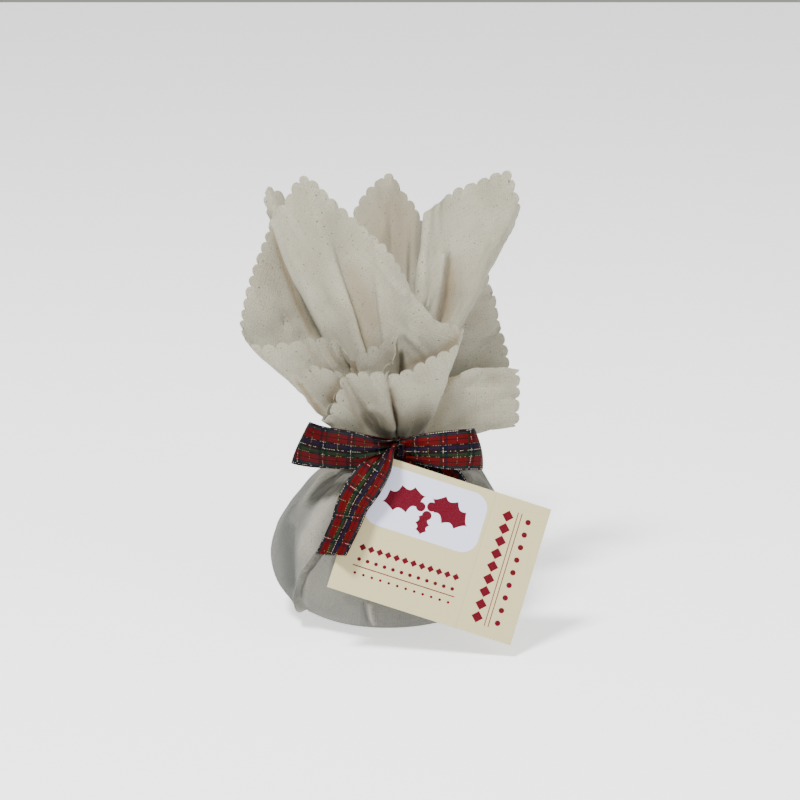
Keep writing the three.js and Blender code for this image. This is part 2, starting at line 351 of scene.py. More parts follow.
@dataclass(frozen=True)
class TartanFinish:
    """Woven tartan ribbon with metallic threads; widths in millimetres across the ribbon and along it."""

    thread: float = 0.42
    dash: float = 1.3
    dash_share: float = 0.6
    repeat: float = 15.3
    weft_start: float = 0.78
    weft_share: float = 0.45
    wear: float = 420.0
    fibre: float = 1600.0
    fibre_dark: float = 0.35
    side_dark: float = 0.3
    relief: float = 0.00012
    across: tuple[Stripe, ...] = (
        Stripe(0.5, 1.0, BLACK),
        Stripe(1.8, 1.6, NAVY),
        Stripe(1.9, 0.6, GREEN),
        Stripe(4.9, 0.4, BLACK),
        Stripe(11.5, 8.2, BLACK),
        Stripe(9.3, 1.7, GREEN),
        Stripe(13.7, 1.7, NAVY),
        Stripe(18.1, 0.4, BLACK),
        Stripe(21.2, 1.6, NAVY),
        Stripe(21.1, 0.6, GREEN),
        Stripe(22.5, 1.0, BLACK),
    )
    across_metal: tuple[Stripe, ...] = (
        Stripe(0.6, 0.26, WHITE),
        Stripe(7.9, 0.24, GOLD),
        Stripe(11.5, 0.26, WHITE),
        Stripe(15.1, 0.24, GOLD),
        Stripe(22.4, 0.26, WHITE),
    )
    along: tuple[Stripe, ...] = (
        Stripe(1.9, 1.7, BLACK),
        Stripe(4.9, 1.7, BLACK),
        Stripe(1.5, 0.5, GREEN),
        Stripe(5.3, 0.5, NAVY),
        Stripe(10.9, 0.9, BLACK),
    )
    along_metal: tuple[Stripe, ...] = (
        Stripe(3.4, 0.2, WHITE),
        Stripe(10.9, 0.2, GOLD),
    )

    def _bands(
        self, graph: Graph, place: Channel, stripes: Sequence[Stripe], ground: Value, shown: Value = 1.0
    ) -> Channel:
        """Lay stripes over a ground.

        Args:
            graph: the material's graph.
            place: millimetres across the stripes.
            stripes: the stripes, the later over the earlier.
            ground: the colour under them.
            shown: 1 where the stripes' threads lie on top.

        Returns:
            The colour.
        """
        colour = ground
        for stripe in stripes:
            inside = abs(place - stripe.middle) < stripe.width / 2
            colour = graph.mix(inside * shown, colour, stripe.colour)
        return colour

    def material(self) -> bpy.types.Material:
        """Make the material.

        Returns:
            The tartan.
        """
        graph = Graph("tartan_ribbon", Roughness=0.5, Specular_IOR_Level=0.06)
        width, length, side = graph.split(graph.scaled(graph.attribute(FLAT), (1000, 1000, 1)))
        step = (length / self.repeat).fraction() * self.repeat
        warp = self._bands(graph, width, self.across, RED)
        weft = self._bands(graph, step, self.along, RED)
        twill = ((width + length) / (2 * self.thread)).fraction()
        over = (twill - self.weft_start).rise(-0.1, 0.1)
        woven = graph.mix(over * self.weft_share, warp, weft)
        colour = self._bands(graph, step, self.along, woven, self.weft_share)
        worn = graph.grain(graph.attribute(FLAT), self.wear, 1).rise(0.44, 0.54)
        for place, other, metal in ((width, length, self.across_metal), (step, width, self.along_metal)):
            dashes = (other / self.dash).fraction() < self.dash_share
            colour = self._bands(graph, place, metal, colour, dashes * worn)
        fine = graph.grain(graph.attribute(FLAT), self.fibre, 2)
        colour = graph.mix(fine.rise(0.35, 0.75) * self.fibre_dark, colour, BLACK)
        colour = graph.mix(side * self.side_dark, colour, BLACK)
        height = abs(twill - 0.5) * 2 + ((width / self.thread) * math.pi).sine() * 0.3 + fine
        graph.feed(Base_Color=colour)
        graph.bump(height, self.relief, 0.7)
        return graph.material


@dataclass(frozen=True)
class CardFinish:
    """Cream card with a pale field, a sprig of holly and rules of dots in dark red; places in millimetres."""

    cream: tuple[float, float, float, float] = (0.47, 0.41, 0.225, 1)
    pale: tuple[float, float, float, float] = (0.56, 0.585, 0.71, 1)
    ink: tuple[float, float, float, float] = (0.085, 0.0002, 0.007, 1)
    fibre_tone: tuple[float, float, float, float] = (0.5, 0.44, 0.3, 1)
    score_shade_tone: tuple[float, float, float, float] = (0.34, 0.29, 0.19, 1)
    fibre: float = 700.0
    wear: float = 2600.0
    relief: float = 0.00008
    field_box: tuple[float, float, float, float] = (6.5, 4.0, 73.4, 39.3)
    field_round: float = 9.5
    leaves: tuple[tuple[tuple[float, float], float, float], ...] = (
        ((26.5, 20), -24, 29),
        ((53.5, 19.5), 22, 29),
        ((40.5, 30.5), 86, 15),
    )
    berries: tuple[tuple[float, float], ...] = ((36.8, 21.4), (42.8, 19.6), (41.6, 25.2))
    berry: float = 2.7
    row: tuple[float, float] = (10.0, 70.0)
    row_pitch: float = 5.0
    row_diamonds: tuple[float, float] = (53.5, 2.1)
    row_dots: tuple[tuple[float, float], ...] = ((60.5, 1.1), (68.5, 0.8))
    row_rules: tuple[tuple[float, float], ...] = ((64.5, 0.6),)
    column: tuple[float, float] = (7.5, 75.0)
    column_pitch: float = 7.5
    column_diamonds: tuple[float, float] = (85.5, 3.4)
    column_dots: tuple[float, float] = (97.5, 1.6)
    column_rules: tuple[tuple[float, float], ...] = ((90.7, 0.5), (92.9, 0.5))

    def _box(self, x: Channel, y: Channel, box: Sequence[float], corner: float) -> Channel:
        """Mark a box with round corners.

        Args:
            x: millimetres from the card's left edge.
            y: millimetres down from its top edge.
            box: left, top, right and bottom.
            corner: the corners' radius.

        Returns:
            1 inside and 0 outside.
        """
        left, top, right, bottom = box
        dx = (abs(x - (left + right) / 2) - ((right - left) / 2 - corner)).most(0)
        dy = (abs(y - (top + bottom) / 2) - ((bottom - top) / 2 - corner)).most(0)
        return (dx * dx + dy * dy).root().rise(corner + 0.08, corner - 0.08)

    def _dot(self, x: Channel, y: Channel, place: Sequence[float], radius: float) -> Channel:
        """Return 1 inside a round dot about a place, and 0 outside."""
        dx, dy = x - place[0], y - place[1]
        return (dx * dx + dy * dy).root().rise(radius + 0.1, radius - 0.1)

    def _leaf(self, x: Channel, y: Channel, place: Sequence[float], turn: float, length: float) -> Channel:
        """Mark a holly leaf: a pointed oval whose edge is cut in by arcs.

        Args:
            x: millimetres from the card's left edge.
            y: millimetres down from its top edge.
            place: the leaf's middle.
            turn: its direction in degrees.
            length: its length.

        Returns:
            1 inside and 0 outside.
        """
        cos, sin = math.cos(math.radians(turn)), math.sin(math.radians(turn))
        along = (x - place[0]) * cos + (y - place[1]) * sin
        out = abs((y - place[1]) * cos - (x - place[0]) * sin)
        reach = 1 - (along / (length / 2)) ** 2
        spines = abs((along * (math.pi * 4 / length)).sine()) * (length * 0.09)
        return (out + spines - reach.most(0) * (length * 0.27)).rise(0.15, -0.15) * (reach > 0)

    def _diamonds(self, along: Channel, across: Channel, pitch: float, line: float, reach: float) -> Channel:
        """Return 1 inside diamonds whose middles stand on a line, and 0 outside."""
        return (abs(along - pitch / 2) + abs(across - line) - reach).rise(0.1, -0.1)

    def _sprig(self, x: Channel, y: Channel) -> Channel:
        """Mark the sprig of holly.

        Args:
            x: millimetres from the card's left edge.
            y: millimetres down from its top edge.

        Returns:
            1 on its leaves and berries and 0 elsewhere.
        """
        shapes = [self._leaf(x, y, *leaf) for leaf in self.leaves]
        shapes += [self._dot(x, y, berry, self.berry) for berry in self.berries]
        ink = shapes[0]
        for shape in shapes[1:]:
            ink = ink.most(shape)
        return ink

    def _row(self, x: Channel, y: Channel) -> Channel:
        """Mark the rows of diamonds and dots under the pale field.

        Args:
            x: millimetres from the card's left edge.
            y: millimetres down from its top edge.

        Returns:
            1 on the ink and 0 elsewhere.
        """
        step = (x / self.row_pitch).fraction() * self.row_pitch
        ink = self._diamonds(step, y, self.row_pitch, *self.row_diamonds)
        for line, radius in self.row_dots:
            ink = ink.most(self._dot(step, y, (self.row_pitch / 2, line), radius))
        for line, width in self.row_rules:
            ink = ink.most(abs(y - line) < width / 2)
        return ink * (x > self.row[0]) * (x < self.row[1])

    def _column(self, x: Channel, y: Channel) -> Channel:
        """Mark the columns of diamonds and dots on the flap.

        Args:
            x: millimetres from the card's left edge.
            y: millimetres down from its top edge.

        Returns:
            1 on the ink and 0 elsewhere.
        """
        step = (y / self.column_pitch).fraction() * self.column_pitch
        ink = self._diamonds(step, x, self.column_pitch, *self.column_diamonds)
        line, radius = self.column_dots
        ink = ink.most(self._dot(x, step, (line, self.column_pitch / 2), radius))
        for rule, width in self.column_rules:
            ink = ink.most(abs(x - rule) < width / 2)
        return ink * (y > self.column[0]) * (y < self.column[1])

    def material(self) -> bpy.types.Material:
        """Make the material.

        Returns:
            The printed card.
        """
        graph = Graph("gift_card", Roughness=0.6, Specular_IOR_Level=0.08)
        place = graph.scaled(graph.attribute(FLAT), (1000, 1000, 1))
        x, y, front = graph.split(place)
        fibre = graph.grain(graph.attribute(FLAT), self.fibre, 3)
        colour = graph.mix(fibre.rise(0.3, 0.8) * 0.12, self.cream, self.fibre_tone)
        colour = graph.mix(self._box(x, y, self.field_box, self.field_round) * front, colour, self.pale)
        ink = self._sprig(x, y).most(self._row(x, y)).most(self._column(x, y))
        worn = graph.grain(graph.attribute(FLAT), self.wear, 2).rise(0.25, 0.45)
        colour = graph.mix(ink * front * (0.93 + 0.07 * worn), colour, self.ink)
        # painted shade: a darker line along the score
        crease = abs(x - SCORE).rise(0.45, 0.1)
        colour = graph.mix(crease * 0.35, colour, self.score_shade_tone)
        graph.feed(Base_Color=colour)
        graph.bump(fibre, self.relief, 0.5)
        return graph.material


@dataclass(frozen=True)
class FloorFinish:
    """A plain pale floor."""

    white: tuple[float, float, float, float] = (0.9, 0.9, 0.9, 1)
    dulled: float = 0.985
    glow: float = 1.25

    def material(self) -> bpy.types.Material:
        """Make the material.

        Returns:
            The floor's paint.
        """
        graph = Graph("pale_floor", Roughness=0.9, Specular_IOR_Level=0.1, Emission_Strength=self.glow)
        tone = graph.grain(graph.node("ShaderNodeTexCoord", {}, {}, "Object"), 3, 2)
        grey = tuple(self.dulled * c for c in self.white[:3]) + (1,)
        colour = graph.mix(tone, self.white, grey)
        graph.feed(Base_Color=colour, Emission_Color=colour)
        return graph.material


# ---- Curves and sheets ----


def through(points: np.ndarray, closed: bool, pieces: int) -> np.ndarray:
    """Join points by a smooth centripetal curve.

    Args:
        points: the points, one to a row.
        closed: whether the last joins the first.
        pieces: how many samples each stretch has.

    Returns:
        The samples; an open curve has its last point too.
    """
    if closed:
        padded = np.vstack([points[-1], points, points[:2]])
    else:
        padded = np.vstack([2 * points[0] - points[1], points, 2 * points[-1] - points[-2]])
    samples = []
    t = np.linspace(0, 1, pieces, endpoint=False)[:, None]
    for p0, p1, p2, p3 in zip(padded, padded[1:], padded[2:], padded[3:]):
        d0, d1, d2 = (max(1e-3, math.sqrt(np.linalg.norm(b - a))) for a, b in ((p0, p1), (p1, p2), (p2, p3)))
        m1 = d1 * ((p1 - p0) / d0 - (p2 - p0) / (d0 + d1) + (p2 - p1) / d1)
        m2 = d1 * ((p2 - p1) / d1 - (p3 - p1) / (d1 + d2) + (p3 - p2) / d2)
        samples.append(
            p1 + m1 * t + (-3 * p1 + 3 * p2 - 2 * m1 - m2) * t**2 + (2 * p1 - 2 * p2 + m1 + m2) * t**3
        )
    if not closed:
        samples.append(points[-1:])
    return np.vstack(samples)


def lengths_along(points: np.ndarray) -> np.ndarray:
    """Return the distance from a line's first point to each of its points."""
    return np.concatenate([[0], np.cumsum(np.linalg.norm(np.diff(points[:, :3], axis=0), axis=1))])


def evenly(points: np.ndarray, count: int) -> np.ndarray:
    """Place points evenly along a line.

    Args:
        points: the line's points, one to a row, with further columns after x, y and z carried along.
        count: how many points to return.

    Returns:
        The points from the first to the last.
    """
    reach = lengths_along(points)
    at = np.linspace(0, reach[-1], count)
    return np.column_stack([np.interp(at, reach, column) for column in points.T])


def lumps(places: np.ndarray, size: float, seed: float) -> np.ndarray:
    """Read smooth noise.

    Args:
        places: where, one to a row, in any unit.
        size: the lumps' size in that unit.
        seed: an offset that makes it differ.

    Returns:
        Numbers about 0, from -1 to 1.
    """
    flat = places.reshape(-1, places.shape[-1])
    if flat.shape[1] == 2:
        flat = np.column_stack([flat, np.full(len(flat), seed)])
    values = [noise.noise(Vector((x / size + seed, y / size - seed, z / size))) for x, y, z in flat.tolist()]
    return np.array(values).reshape(places.shape[:-1])


def smooth(value: np.ndarray, start: float, end: float) -> np.ndarray:
    """Return a smooth step from 0 at start to 1 at end."""
    t = np.clip((value - start) / (end - start), 0, 1)
    return t * t * (3 - 2 * t)


def window(value: np.ndarray, start: float, end: float, blend: float) -> np.ndarray:
    """Return 1 from start to end, and a smooth fall to 0 within blend on both sides."""
    return smooth(value, start - blend, start) * (1 - smooth(value, end, end + blend))


def lines(places: np.ndarray, size: float, seed: float, sharpness: float, power: float) -> np.ndarray:
    """Return 1 on wandering lines where smooth noise passes through 0, and a fall to 0 beside them."""
    return np.clip(1 - np.abs(lumps(places, size, seed)) * sharpness, 0, 1) ** power


def unit(vectors: np.ndarray) -> np.ndarray:
    """Scale vectors to a length of 1."""
    return vectors / np.maximum(np.linalg.norm(vectors, axis=-1, keepdims=True), 1e-9)


def ring_normals(points: np.ndarray, step: int) -> np.ndarray:
    """Return the normals of a grid with closed rows, from slopes over step columns to each side."""
    along = np.roll(points, -step, axis=1) - np.roll(points, step, axis=1)
    return unit(np.cross(along, np.gradient(points, axis=0)))


@dataclass
class Sheet:
    """A surface of points in millimetres with its faces and its place on the flat cloth."""

    points: np.ndarray
    faces: list[tuple[int, ...]]
    flat: np.ndarray
    shade: np.ndarray | None = None

    def normals(self) -> np.ndarray:
        """Find the normals at the points.

        Returns:
            The normals, one to a row.
        """
        total = np.zeros_like(self.points)
        for size in sorted({len(face) for face in self.faces}):
            group = np.array([face for face in self.faces if len(face) == size])
            corners = self.points[group]
            middle = corners.mean(axis=1)
            normal = sum(
                np.cross(corners[:, k] - middle, corners[:, (k + 1) % size] - middle) for k in range(size)
            )
            for k in range(size):
                np.add.at(total, group[:, k], normal)
        return unit(total)

    def rims(self) -> list[tuple[int, int]]:
        """Find the edges that only one face has.

        Returns:
            Each edge's two points, in that face's direction.
        """
        seen: dict[tuple[int, int], int] = {}
        for face in self.faces:
            for a, b in zip(face, face[1:] + face[:1]):
                key = (min(a, b), max(a, b))
                seen[key] = seen.get(key, 0) + 1
        return [
            (a, b)
            for face in self.faces
            for a, b in zip(face, face[1:] + face[:1])
            if seen[(min(a, b), max(a, b))] == 1
        ]

    def thick(self, thickness: float | np.ndarray) -> "Sheet":
        """Give the surface a thickness and close its rims.

        Args:
            thickness: millimetres, for the whole sheet or for each point.

        Returns:
            The closed sheet; the third column of its flat places is 1 on the front and 0 on the back.
        """
        half = self.normals() * (np.broadcast_to(thickness, len(self.points))[:, None] / 2)
        count = len(self.points)
        faces = list(self.faces)
        faces += [tuple(count + index for index in reversed(face)) for face in self.faces]
        faces += [(b, a, a + count, b + count) for a, b in self.rims()]
        flat = np.vstack([self.flat, self.flat])
        flat = np.column_stack([flat[:, :2], np.repeat([1.0, 0.0], count)])
        shade = None if self.shade is None else np.concatenate([self.shade, self.shade])
        return Sheet(np.vstack([self.points + half, self.points - half]), faces, flat, shade)

    def joined(self, other: "Sheet") -> "Sheet":
        """Put another sheet into the same mesh.

        Args:
            other: the other sheet, closed like this one.

        Returns:
            Both in one.
        """
        count = len(self.points)
        faces = self.faces + [tuple(count + index for index in face) for face in other.faces]
        shades = [np.zeros(len(s.points)) if s.shade is None else s.shade for s in (self, other)]
        return Sheet(
            np.vstack([self.points, other.points]),
            faces,
            np.vstack([self.flat, other.flat]),
            np.concatenate(shades),
        )

    def piece(self, name: str, material: bpy.types.Material) -> bpy.types.Object:
        """Make the object.

        Args:
            name: its name.
            material: its material.

        Returns:
            The object, in metres.
        """
        mesh = bpy.data.meshes.new(name)
        mesh.from_pydata((self.points * MM).tolist(), [], self.faces)
        mesh.shade_smooth()
        mesh.set_sharp_from_angle(angle=math.radians(55))
        places = mesh.attributes.new(FLAT, "FLOAT_VECTOR", "POINT")
        flat = self.flat if self.flat.shape[1] == 3 else np.column_stack([self.flat, np.ones(len(self.flat))])
        places.data.foreach_set("vector", (flat * (MM, MM, 1)).astype(np.float32).ravel())
        shades = mesh.attributes.new(SHADE, "FLOAT", "POINT")
        values = np.zeros(len(self.points)) if self.shade is None else self.shade
        shades.data.foreach_set("value", values.astype(np.float32))
        mesh.materials.append(material)
        mesh.update()
        obj = bpy.data.objects.new(name, mesh)
        bpy.context.scene.collection.objects.link(obj)
        return obj


def grid_faces(rows: int, columns: int, closed: bool) -> list[tuple[int, ...]]:
    """List the faces of a grid of points.

    Args:
        rows: how many rows it has.
        columns: how many points each row has.
        closed: whether each row's end joins its start.

    Returns:
        The four-sided faces.
    """
    faces = []
    for i in range(rows - 1):
        low, high = i * columns, (i + 1) * columns
        for j in range(columns if closed else columns - 1):
            k = (j + 1) % columns
            faces.append((low + j, low + k, high + k, high + j))
    return faces


def loose_threads(
    roots: np.ndarray, ways: np.ndarray, flats: np.ndarray, longest: float, width: float, seed: int
) -> Sheet:
    """Fray an edge into short threads, each a thin three-sided spike.

    Args:
        roots: where the threads leave the edge.
        ways: the directions that they take, of length 1.
        flats: the roots' places on the flat cloth or ribbon.
        longest: the longest thread.
        width: a thread's width.
        seed: a number that sets their lengths and tilts.

    Returns:
        The threads in one closed sheet.
    """
    chance = np.random.default_rng(seed)
    count = len(roots)
    run = unit(ways + chance.normal(0, 0.35, (count, 3)))
    ends = roots + run * longest * chance.uniform(0.2, 1, (count, 1))
    side = unit(np.cross(run, OBLIQUE))
    up = np.cross(run, side)
    start = roots - run * width
    turns = np.linspace(0, 2 * math.pi, 3, endpoint=False)
    corners = [start + (math.cos(a) * side + math.sin(a) * up) * width / 2 for a in turns]
    faces = []
    for i in range(count):
        a, b, c, tip = i, count + i, 2 * count + i, 3 * count + i
        faces += [(a, c, b), (a, b, tip), (b, c, tip), (c, a, tip)]
    flat = np.column_stack([np.tile(flats[:, :2], (4, 1)), np.ones(4 * count)])
    return Sheet(np.vstack([*corners, ends]), faces, flat)


# ---- The cloth ----


class Fold(Enum):
    """What a pressed fold does to the surface across it."""

    VALLEY = "sinks in a sharp line"
    RIDGE = "stands up in a sharp line"
    STEP = "steps down from one side to the other"
    SWELL = "stands up in a soft ridge"

    def rise(self, across: np.ndarray, width: float, depth: float) -> np.ndarray:
        """Tell how the fold moves the surface.

        Args:
            across: signed millimetres across the fold.
            width: how wide it is.
            depth: how deep or high it is.

        Returns:
            Millimetres along the surface's normal.
        """
        t = across / width
        if self is Fold.STEP:
            return -depth * np.tanh(3 * t) * np.exp(-np.abs(t) ** 1.5)
        if self is Fold.SWELL:
            return depth * np.exp(-2 * t**2)
        return depth * np.exp(-np.abs(t) ** 1.2 * 1.6) * (1 if self is Fold.RIDGE else -1)

    def painted_shade(self, across: np.ndarray, width: float) -> np.ndarray:
        """Tell how much painted shade darkens the fold's hollow.

        Args:
            across: signed millimetres across the fold.
            width: how wide it is.

        Returns:
            A share from 0 to 1.
        """
        t = across / width
        if self is Fold.STEP:
            return np.where(t > 0, np.exp(-t * 0.7), np.exp(t * 8))
        return np.exp(-(t**2) * 3)


@dataclass(frozen=True)
class Crease:
    """A pressed fold that runs along the cloth from the tie towards the hem."""

    fold: str
    turn: float
    start: float
    end: float
    width: float
    depth: float
    kind: Fold = Fold.VALLEY
    # how much painted shade darkens the fold's hollow, from 0 to 1
    shade: float = 0.0

    def apply(self, across: np.ndarray, s: np.ndarray) -> tuple[np.ndarray, np.ndarray]:
        """Press the fold in.

        Args:
            across: signed millimetres across the fold.
            s: each point's share of the way from the throat to the hem.

        Returns:
            How far each point moves out, and how much painted shade darkens it.
        """
        span = self.end - self.start
        fade = smooth(s, self.start, self.start + span * 0.3)
        fade = fade * (1 - smooth(s, self.end - span * 0.35, self.end))
        move = self.kind.rise(across, self.width, self.depth)
        return move * fade, self.shade * self.kind.painted_shade(across, self.width) * fade


def in_view(points: np.ndarray) -> np.ndarray:
    """Tell where points lie as seen from the front, a little from above.

    Args:
        points: x, y and z.

    Returns:
        Millimetres right and up from the tie.
    """
    lean = math.radians(LEAN)
    x, y, z = np.moveaxis(points - TIE, -1, 0)
    scale = 1 + (y * math.cos(lean) - z * math.sin(lean)) / DISTANCE
    return np.stack([x, z * math.cos(lean) + y * math.sin(lean)], axis=-1) / scale[..., None]


@dataclass(frozen=True)
class Wrinkle:
    """A pressed fold along a path, given in millimetres right and up from the tie as seen from the front."""

    path: tuple[tuple[float, float], ...]
    width: float
    depth: float
    kind: Fold = Fold.VALLEY
    # how much painted shade darkens the fold's hollow, from 0 to 1; below 0 it paints the fold lighter
    shade: float = 0.0

    def apply(self, view: np.ndarray) -> tuple[np.ndarray, np.ndarray]:
        """Press the fold in.

        Args:
            view: each point's place right of and above the tie in view.

        Returns:
            How far each point moves out, and how much painted shade darkens it.
        """
        path = through(np.array([(x, z, 0.0) for x, z in self.path]), False, 8)[:, :2]
        reach = lengths_along(path)
        best = np.full(view.shape[:-1], 1e9)
        side, place = np.zeros_like(best), np.zeros_like(best)
        for a, b, start in zip(path, path[1:], reach):
            run = b - a
            t = np.clip(np.sum((view - a) * run, axis=-1) / np.sum(run * run), 0, 1)
            off = view - (a + t[..., None] * run)
            away = np.linalg.norm(off, axis=-1)
            near = away < best
            best = np.where(near, away, best)
            side = np.where(near, np.sign(off[..., 1] * run[0] - off[..., 0] * run[1]), side)
            place = np.where(near, start + t * np.linalg.norm(run), place)
        fade = smooth(np.minimum(place, reach[-1] - place), 0, 1.2 * self.width)
        move = self.kind.rise(side * best, self.width, self.depth)
        return move * fade, self.shade * self.kind.painted_shade(side * best, self.width) * fade


@dataclass
class Crown:
    """The part of the cloth above the tie: folds that run from the throat to the pinked hem."""

    side: float = 540.0
    pitch: float = 7.8
    lobe_depth: float = 3.0
    lobe_wear: float = 0.3
    lobe_hidden: float = 0.9
    per_lobe: int = 4
    rows: int = 36
    margin: float = 5.0
    buried: float = 3.0
    neck: float = 9.0
    drop: float = 8.0
    cloth: float = 0.55
    fray: float = 1.3
    thread: float = 0.3
    seed: int = 11
    gather: float = 2.3
    wave: float = 5.0
    ripple: float = 1.2
    raised: float = 1.3
    sunk: float = 1.1
    crumple: float = 0.35
    throat_dark: float = 0.35
    throat_reach: tuple[float, float] = (14.0, 55.0)
    # a crease's shade, the number after its kind, paints shade into the colour along its hollow
    creases: tuple[Crease, ...] = (
        Crease("tall corner", 3.5, 0.18, 0.86, 6.0, 4.5, Fold.STEP, 1.0),
        Crease("tall corner", 1.9, 0.2, 0.9, 5.0, -3.0, Fold.STEP, 0.2),
        Crease("tall corner", 5.4, 0.3, 1.1, 9.0, 2.5, Fold.RIDGE),
        Crease("tall corner", 6.2, 0.1, 1.0, 5.0, 0.5, Fold.VALLEY, 1.0),
        Crease("left corner", 3.6, 0.3, 0.9, 9.0, 2.5, Fold.VALLEY, 0.3),
        Crease("left corner", 4.4, 0.35, 0.95, 8.0, 2.0, Fold.RIDGE),
        Crease("right corner", 4.0, 0.2, 0.6, 8.0, 3.0, Fold.VALLEY, 0.3),
        Crease("right corner", 0.0, 0.2, 0.7, 5.0, 3.0, Fold.RIDGE),
        Crease("right back", 1.5, 0.25, 1.0, 9.0, 4.5, Fold.VALLEY, 0.1),
        Crease("right back", 3.2, 0.3, 0.9, 9.0, 2.5, Fold.VALLEY, 0.2),
        Crease("right flap", 1.0, 0.4, 1.1, 4.0, 3.0, Fold.RIDGE),
        Crease("right flap", 3.0, 0.2, 0.8, 7.0, 2.0, Fold.VALLEY, 0.2),
        Crease("front flap", 4.2, 0.2, 1.2, 4.0, 2.2, Fold.VALLEY, 0.3),
        Crease("front flap", 6.4, 0.2, 0.8, 5.0, 2.2, Fold.RIDGE),
        Crease("front flap", 7.8, 0.2, 1.0, 3.0, 2.5, Fold.VALLEY, 0.7),
        Crease("front flap", 11.0, 0.2, 0.8, 6.0, 1.2, Fold.VALLEY, 0.1),
        Crease("front flap", 12.3, 0.3, 0.9, 6.0, 2.0, Fold.STEP, 0.3),
        Crease("left flap", 0.6, 0.3, 0.9, 7.0, 2.5, Fold.VALLEY, 0.2),
        Crease("left flap", 1.6, 0.6, 1.1, 3.0, 1.4, Fold.VALLEY, 0.4),
        Crease("left flap", 2.9, 0.4, 1.1, 3.0, 1.8, Fold.STEP, 0.6),
        Crease("left flap", 2.2, 0.4, 1.1, 5.0, 2.5, Fold.STEP, 0.3),
        Crease("left pleat", 3.0, 0.3, 1.1, 5.0, 1.5, Fold.STEP, 0.3),
        Crease("back corner", 2.0, 0.2, 0.9, 8.0, 3.0, Fold.VALLEY, 0.3),
        Crease("back corner", 0.6, 0.3, 0.9, 6.0, 2.5, Fold.STEP, 0.3),
        Crease("inner flap", 1.5, 0.2, 0.9, 7.0, 2.5, Fold.VALLEY, 0.2),
    )
    # each mark presses a fold placed in view; its shade, the number after its kind, paints shade beside it:
    # contact shadows at overlapping edges and shaded hollows, and marks of depth 0 press nothing and only
    # paint shade on cloth that lies in shade
    marks: tuple[tuple[str, float, float, Wrinkle], ...] = (
        ("left corner", 1.2, 6.0, Wrinkle(
            ((-75.5, 123), (-70, 106), (-63, 88.7), (-56, 73.7), (-50, 61)), 3.2, 1.2, Fold.VALLEY, 1.0
        )),
        ("left corner", 4.6, 9.0, Wrinkle(
            ((-63, 40), (-56, 30), (-50, 22), (-42, 11)), 3.2, 1.5, Fold.VALLEY, 1.0
        )),
        ("right corner", -0.5, 4.5, Wrinkle(
            ((26, 112), (24.4, 100), (22.2, 86), (19.4, 72), (16, 56)), 4.5, 4.5, Fold.STEP, 0.9
        )),
        ("right corner", -0.5, 4.5, Wrinkle(
            ((28, 108), (28.5, 97), (26.5, 84), (23.5, 68)), 6.5, 0.5, Fold.VALLEY, 1.0
        )),
        ("inner flap", -0.5, 6.0, Wrinkle(
            ((39, 60), (33, 58), (24, 54), (13, 50), (2, 46), (-4, 44)), 4.5, 0.3, Fold.VALLEY, 0.9
        )),
        ("inner flap", -0.5, 4.0, Wrinkle(
            ((42, 67), (36, 63), (30, 59), (22, 55)), 5.0, 0.5, Fold.VALLEY, 1.0
        )),
        ("tall corner", 0.0, 6.0, Wrinkle(
            ((-33, 110), (-28, 98), (-22, 84), (-18, 71), (-16, 60)), 10.0, 0.5, Fold.VALLEY, 0.6
        )),
        ("back corner", -1.0, 4.2, Wrinkle(((-14, 165), (-6, 120), (2, 80)), 40.0, 0.0, Fold.VALLEY, 0.7)),
        ("left corner", 1.0, 6.0, Wrinkle(((-86, 116), (-84, 98), (-78, 76)), 14.0, 0.0, Fold.VALLEY, 0.35)),
        ("front flap", 1.5, 7.5, Wrinkle(
            ((-35, 38), (-31, 27), (-25, 14), (-20, 6)), 3.0, 1.2, Fold.VALLEY, 0.5
        )),
        ("front flap", 3.0, 9.5, Wrinkle(((-26, 19), (-17, 23), (-9, 18), (-5, 7)), 4.0, 2.0, Fold.SWELL)),
        ("front flap", 6.6, 10.0, Wrinkle(
            ((-7, 37), (-6, 28), (-4.5, 18), (-2.5, 8)), 3.6, 1.0, Fold.VALLEY, 1.0
        )),
        ("left pleat", 1.6, 5.0, Wrinkle(
            ((-36, 43), (-38, 33), (-41.5, 22), (-38, 10)), 8.0, 2.0, Fold.VALLEY, 1.0
        )),
        ("left flap", 2.2, 6.0, Wrinkle(((-31.5, 51), (-29, 43), (-25, 32)), 1.8, 1.5, Fold.VALLEY, 1.0)),
        ("left flap", 0.3, 3.0, Wrinkle(((-64, 60), (-58, 52), (-50, 47)), 3.0, 1.2, Fold.SWELL)),
        ("left corner", 3.0, 6.0, Wrinkle(((-67, 64), (-61, 69), (-58, 64)), 4.0, 2.5, Fold.SWELL)),
        ("left corner", 3.0, 6.0, Wrinkle(((-70, 70), (-63, 73), (-54, 74)), 3.0, 1.5, Fold.VALLEY, 0.4)),
        ("right flap", 0.0, 4.0, Wrinkle(
            ((22, 29), (25, 33), (29, 39), (36, 41)), 3.0, 1.0, Fold.VALLEY, 1.0
        )),
        ("right flap", 0.0, 4.0, Wrinkle(((30, 33), (44, 35), (60, 36)), 3.5, 1.2, Fold.VALLEY, 0.25)),
    )
    inner_faces: tuple[str, ...] = ("left corner", "inner flap", "tall corner", "inner folds", "back corner")
    turned_under: tuple[tuple[str, float, float], ...] = (
        ("inner flap", 1.0, 3.8), ("right corner", -2.0, 1.2), ("left corner", -0.8, 0.7),
    )
    level: tuple[str, float, float, float] = ("right flap", 1.0, 0.9, 28.0)
    crumpled: tuple[str, float, float, float] = ("left flap", 0.5, 5.0, 1.5)
    corners: tuple[str, ...] = ("left corner", "tall corner", "right corner", "back corner")
    corner_turns: tuple[int, ...] = (0, 4, 4, 2)
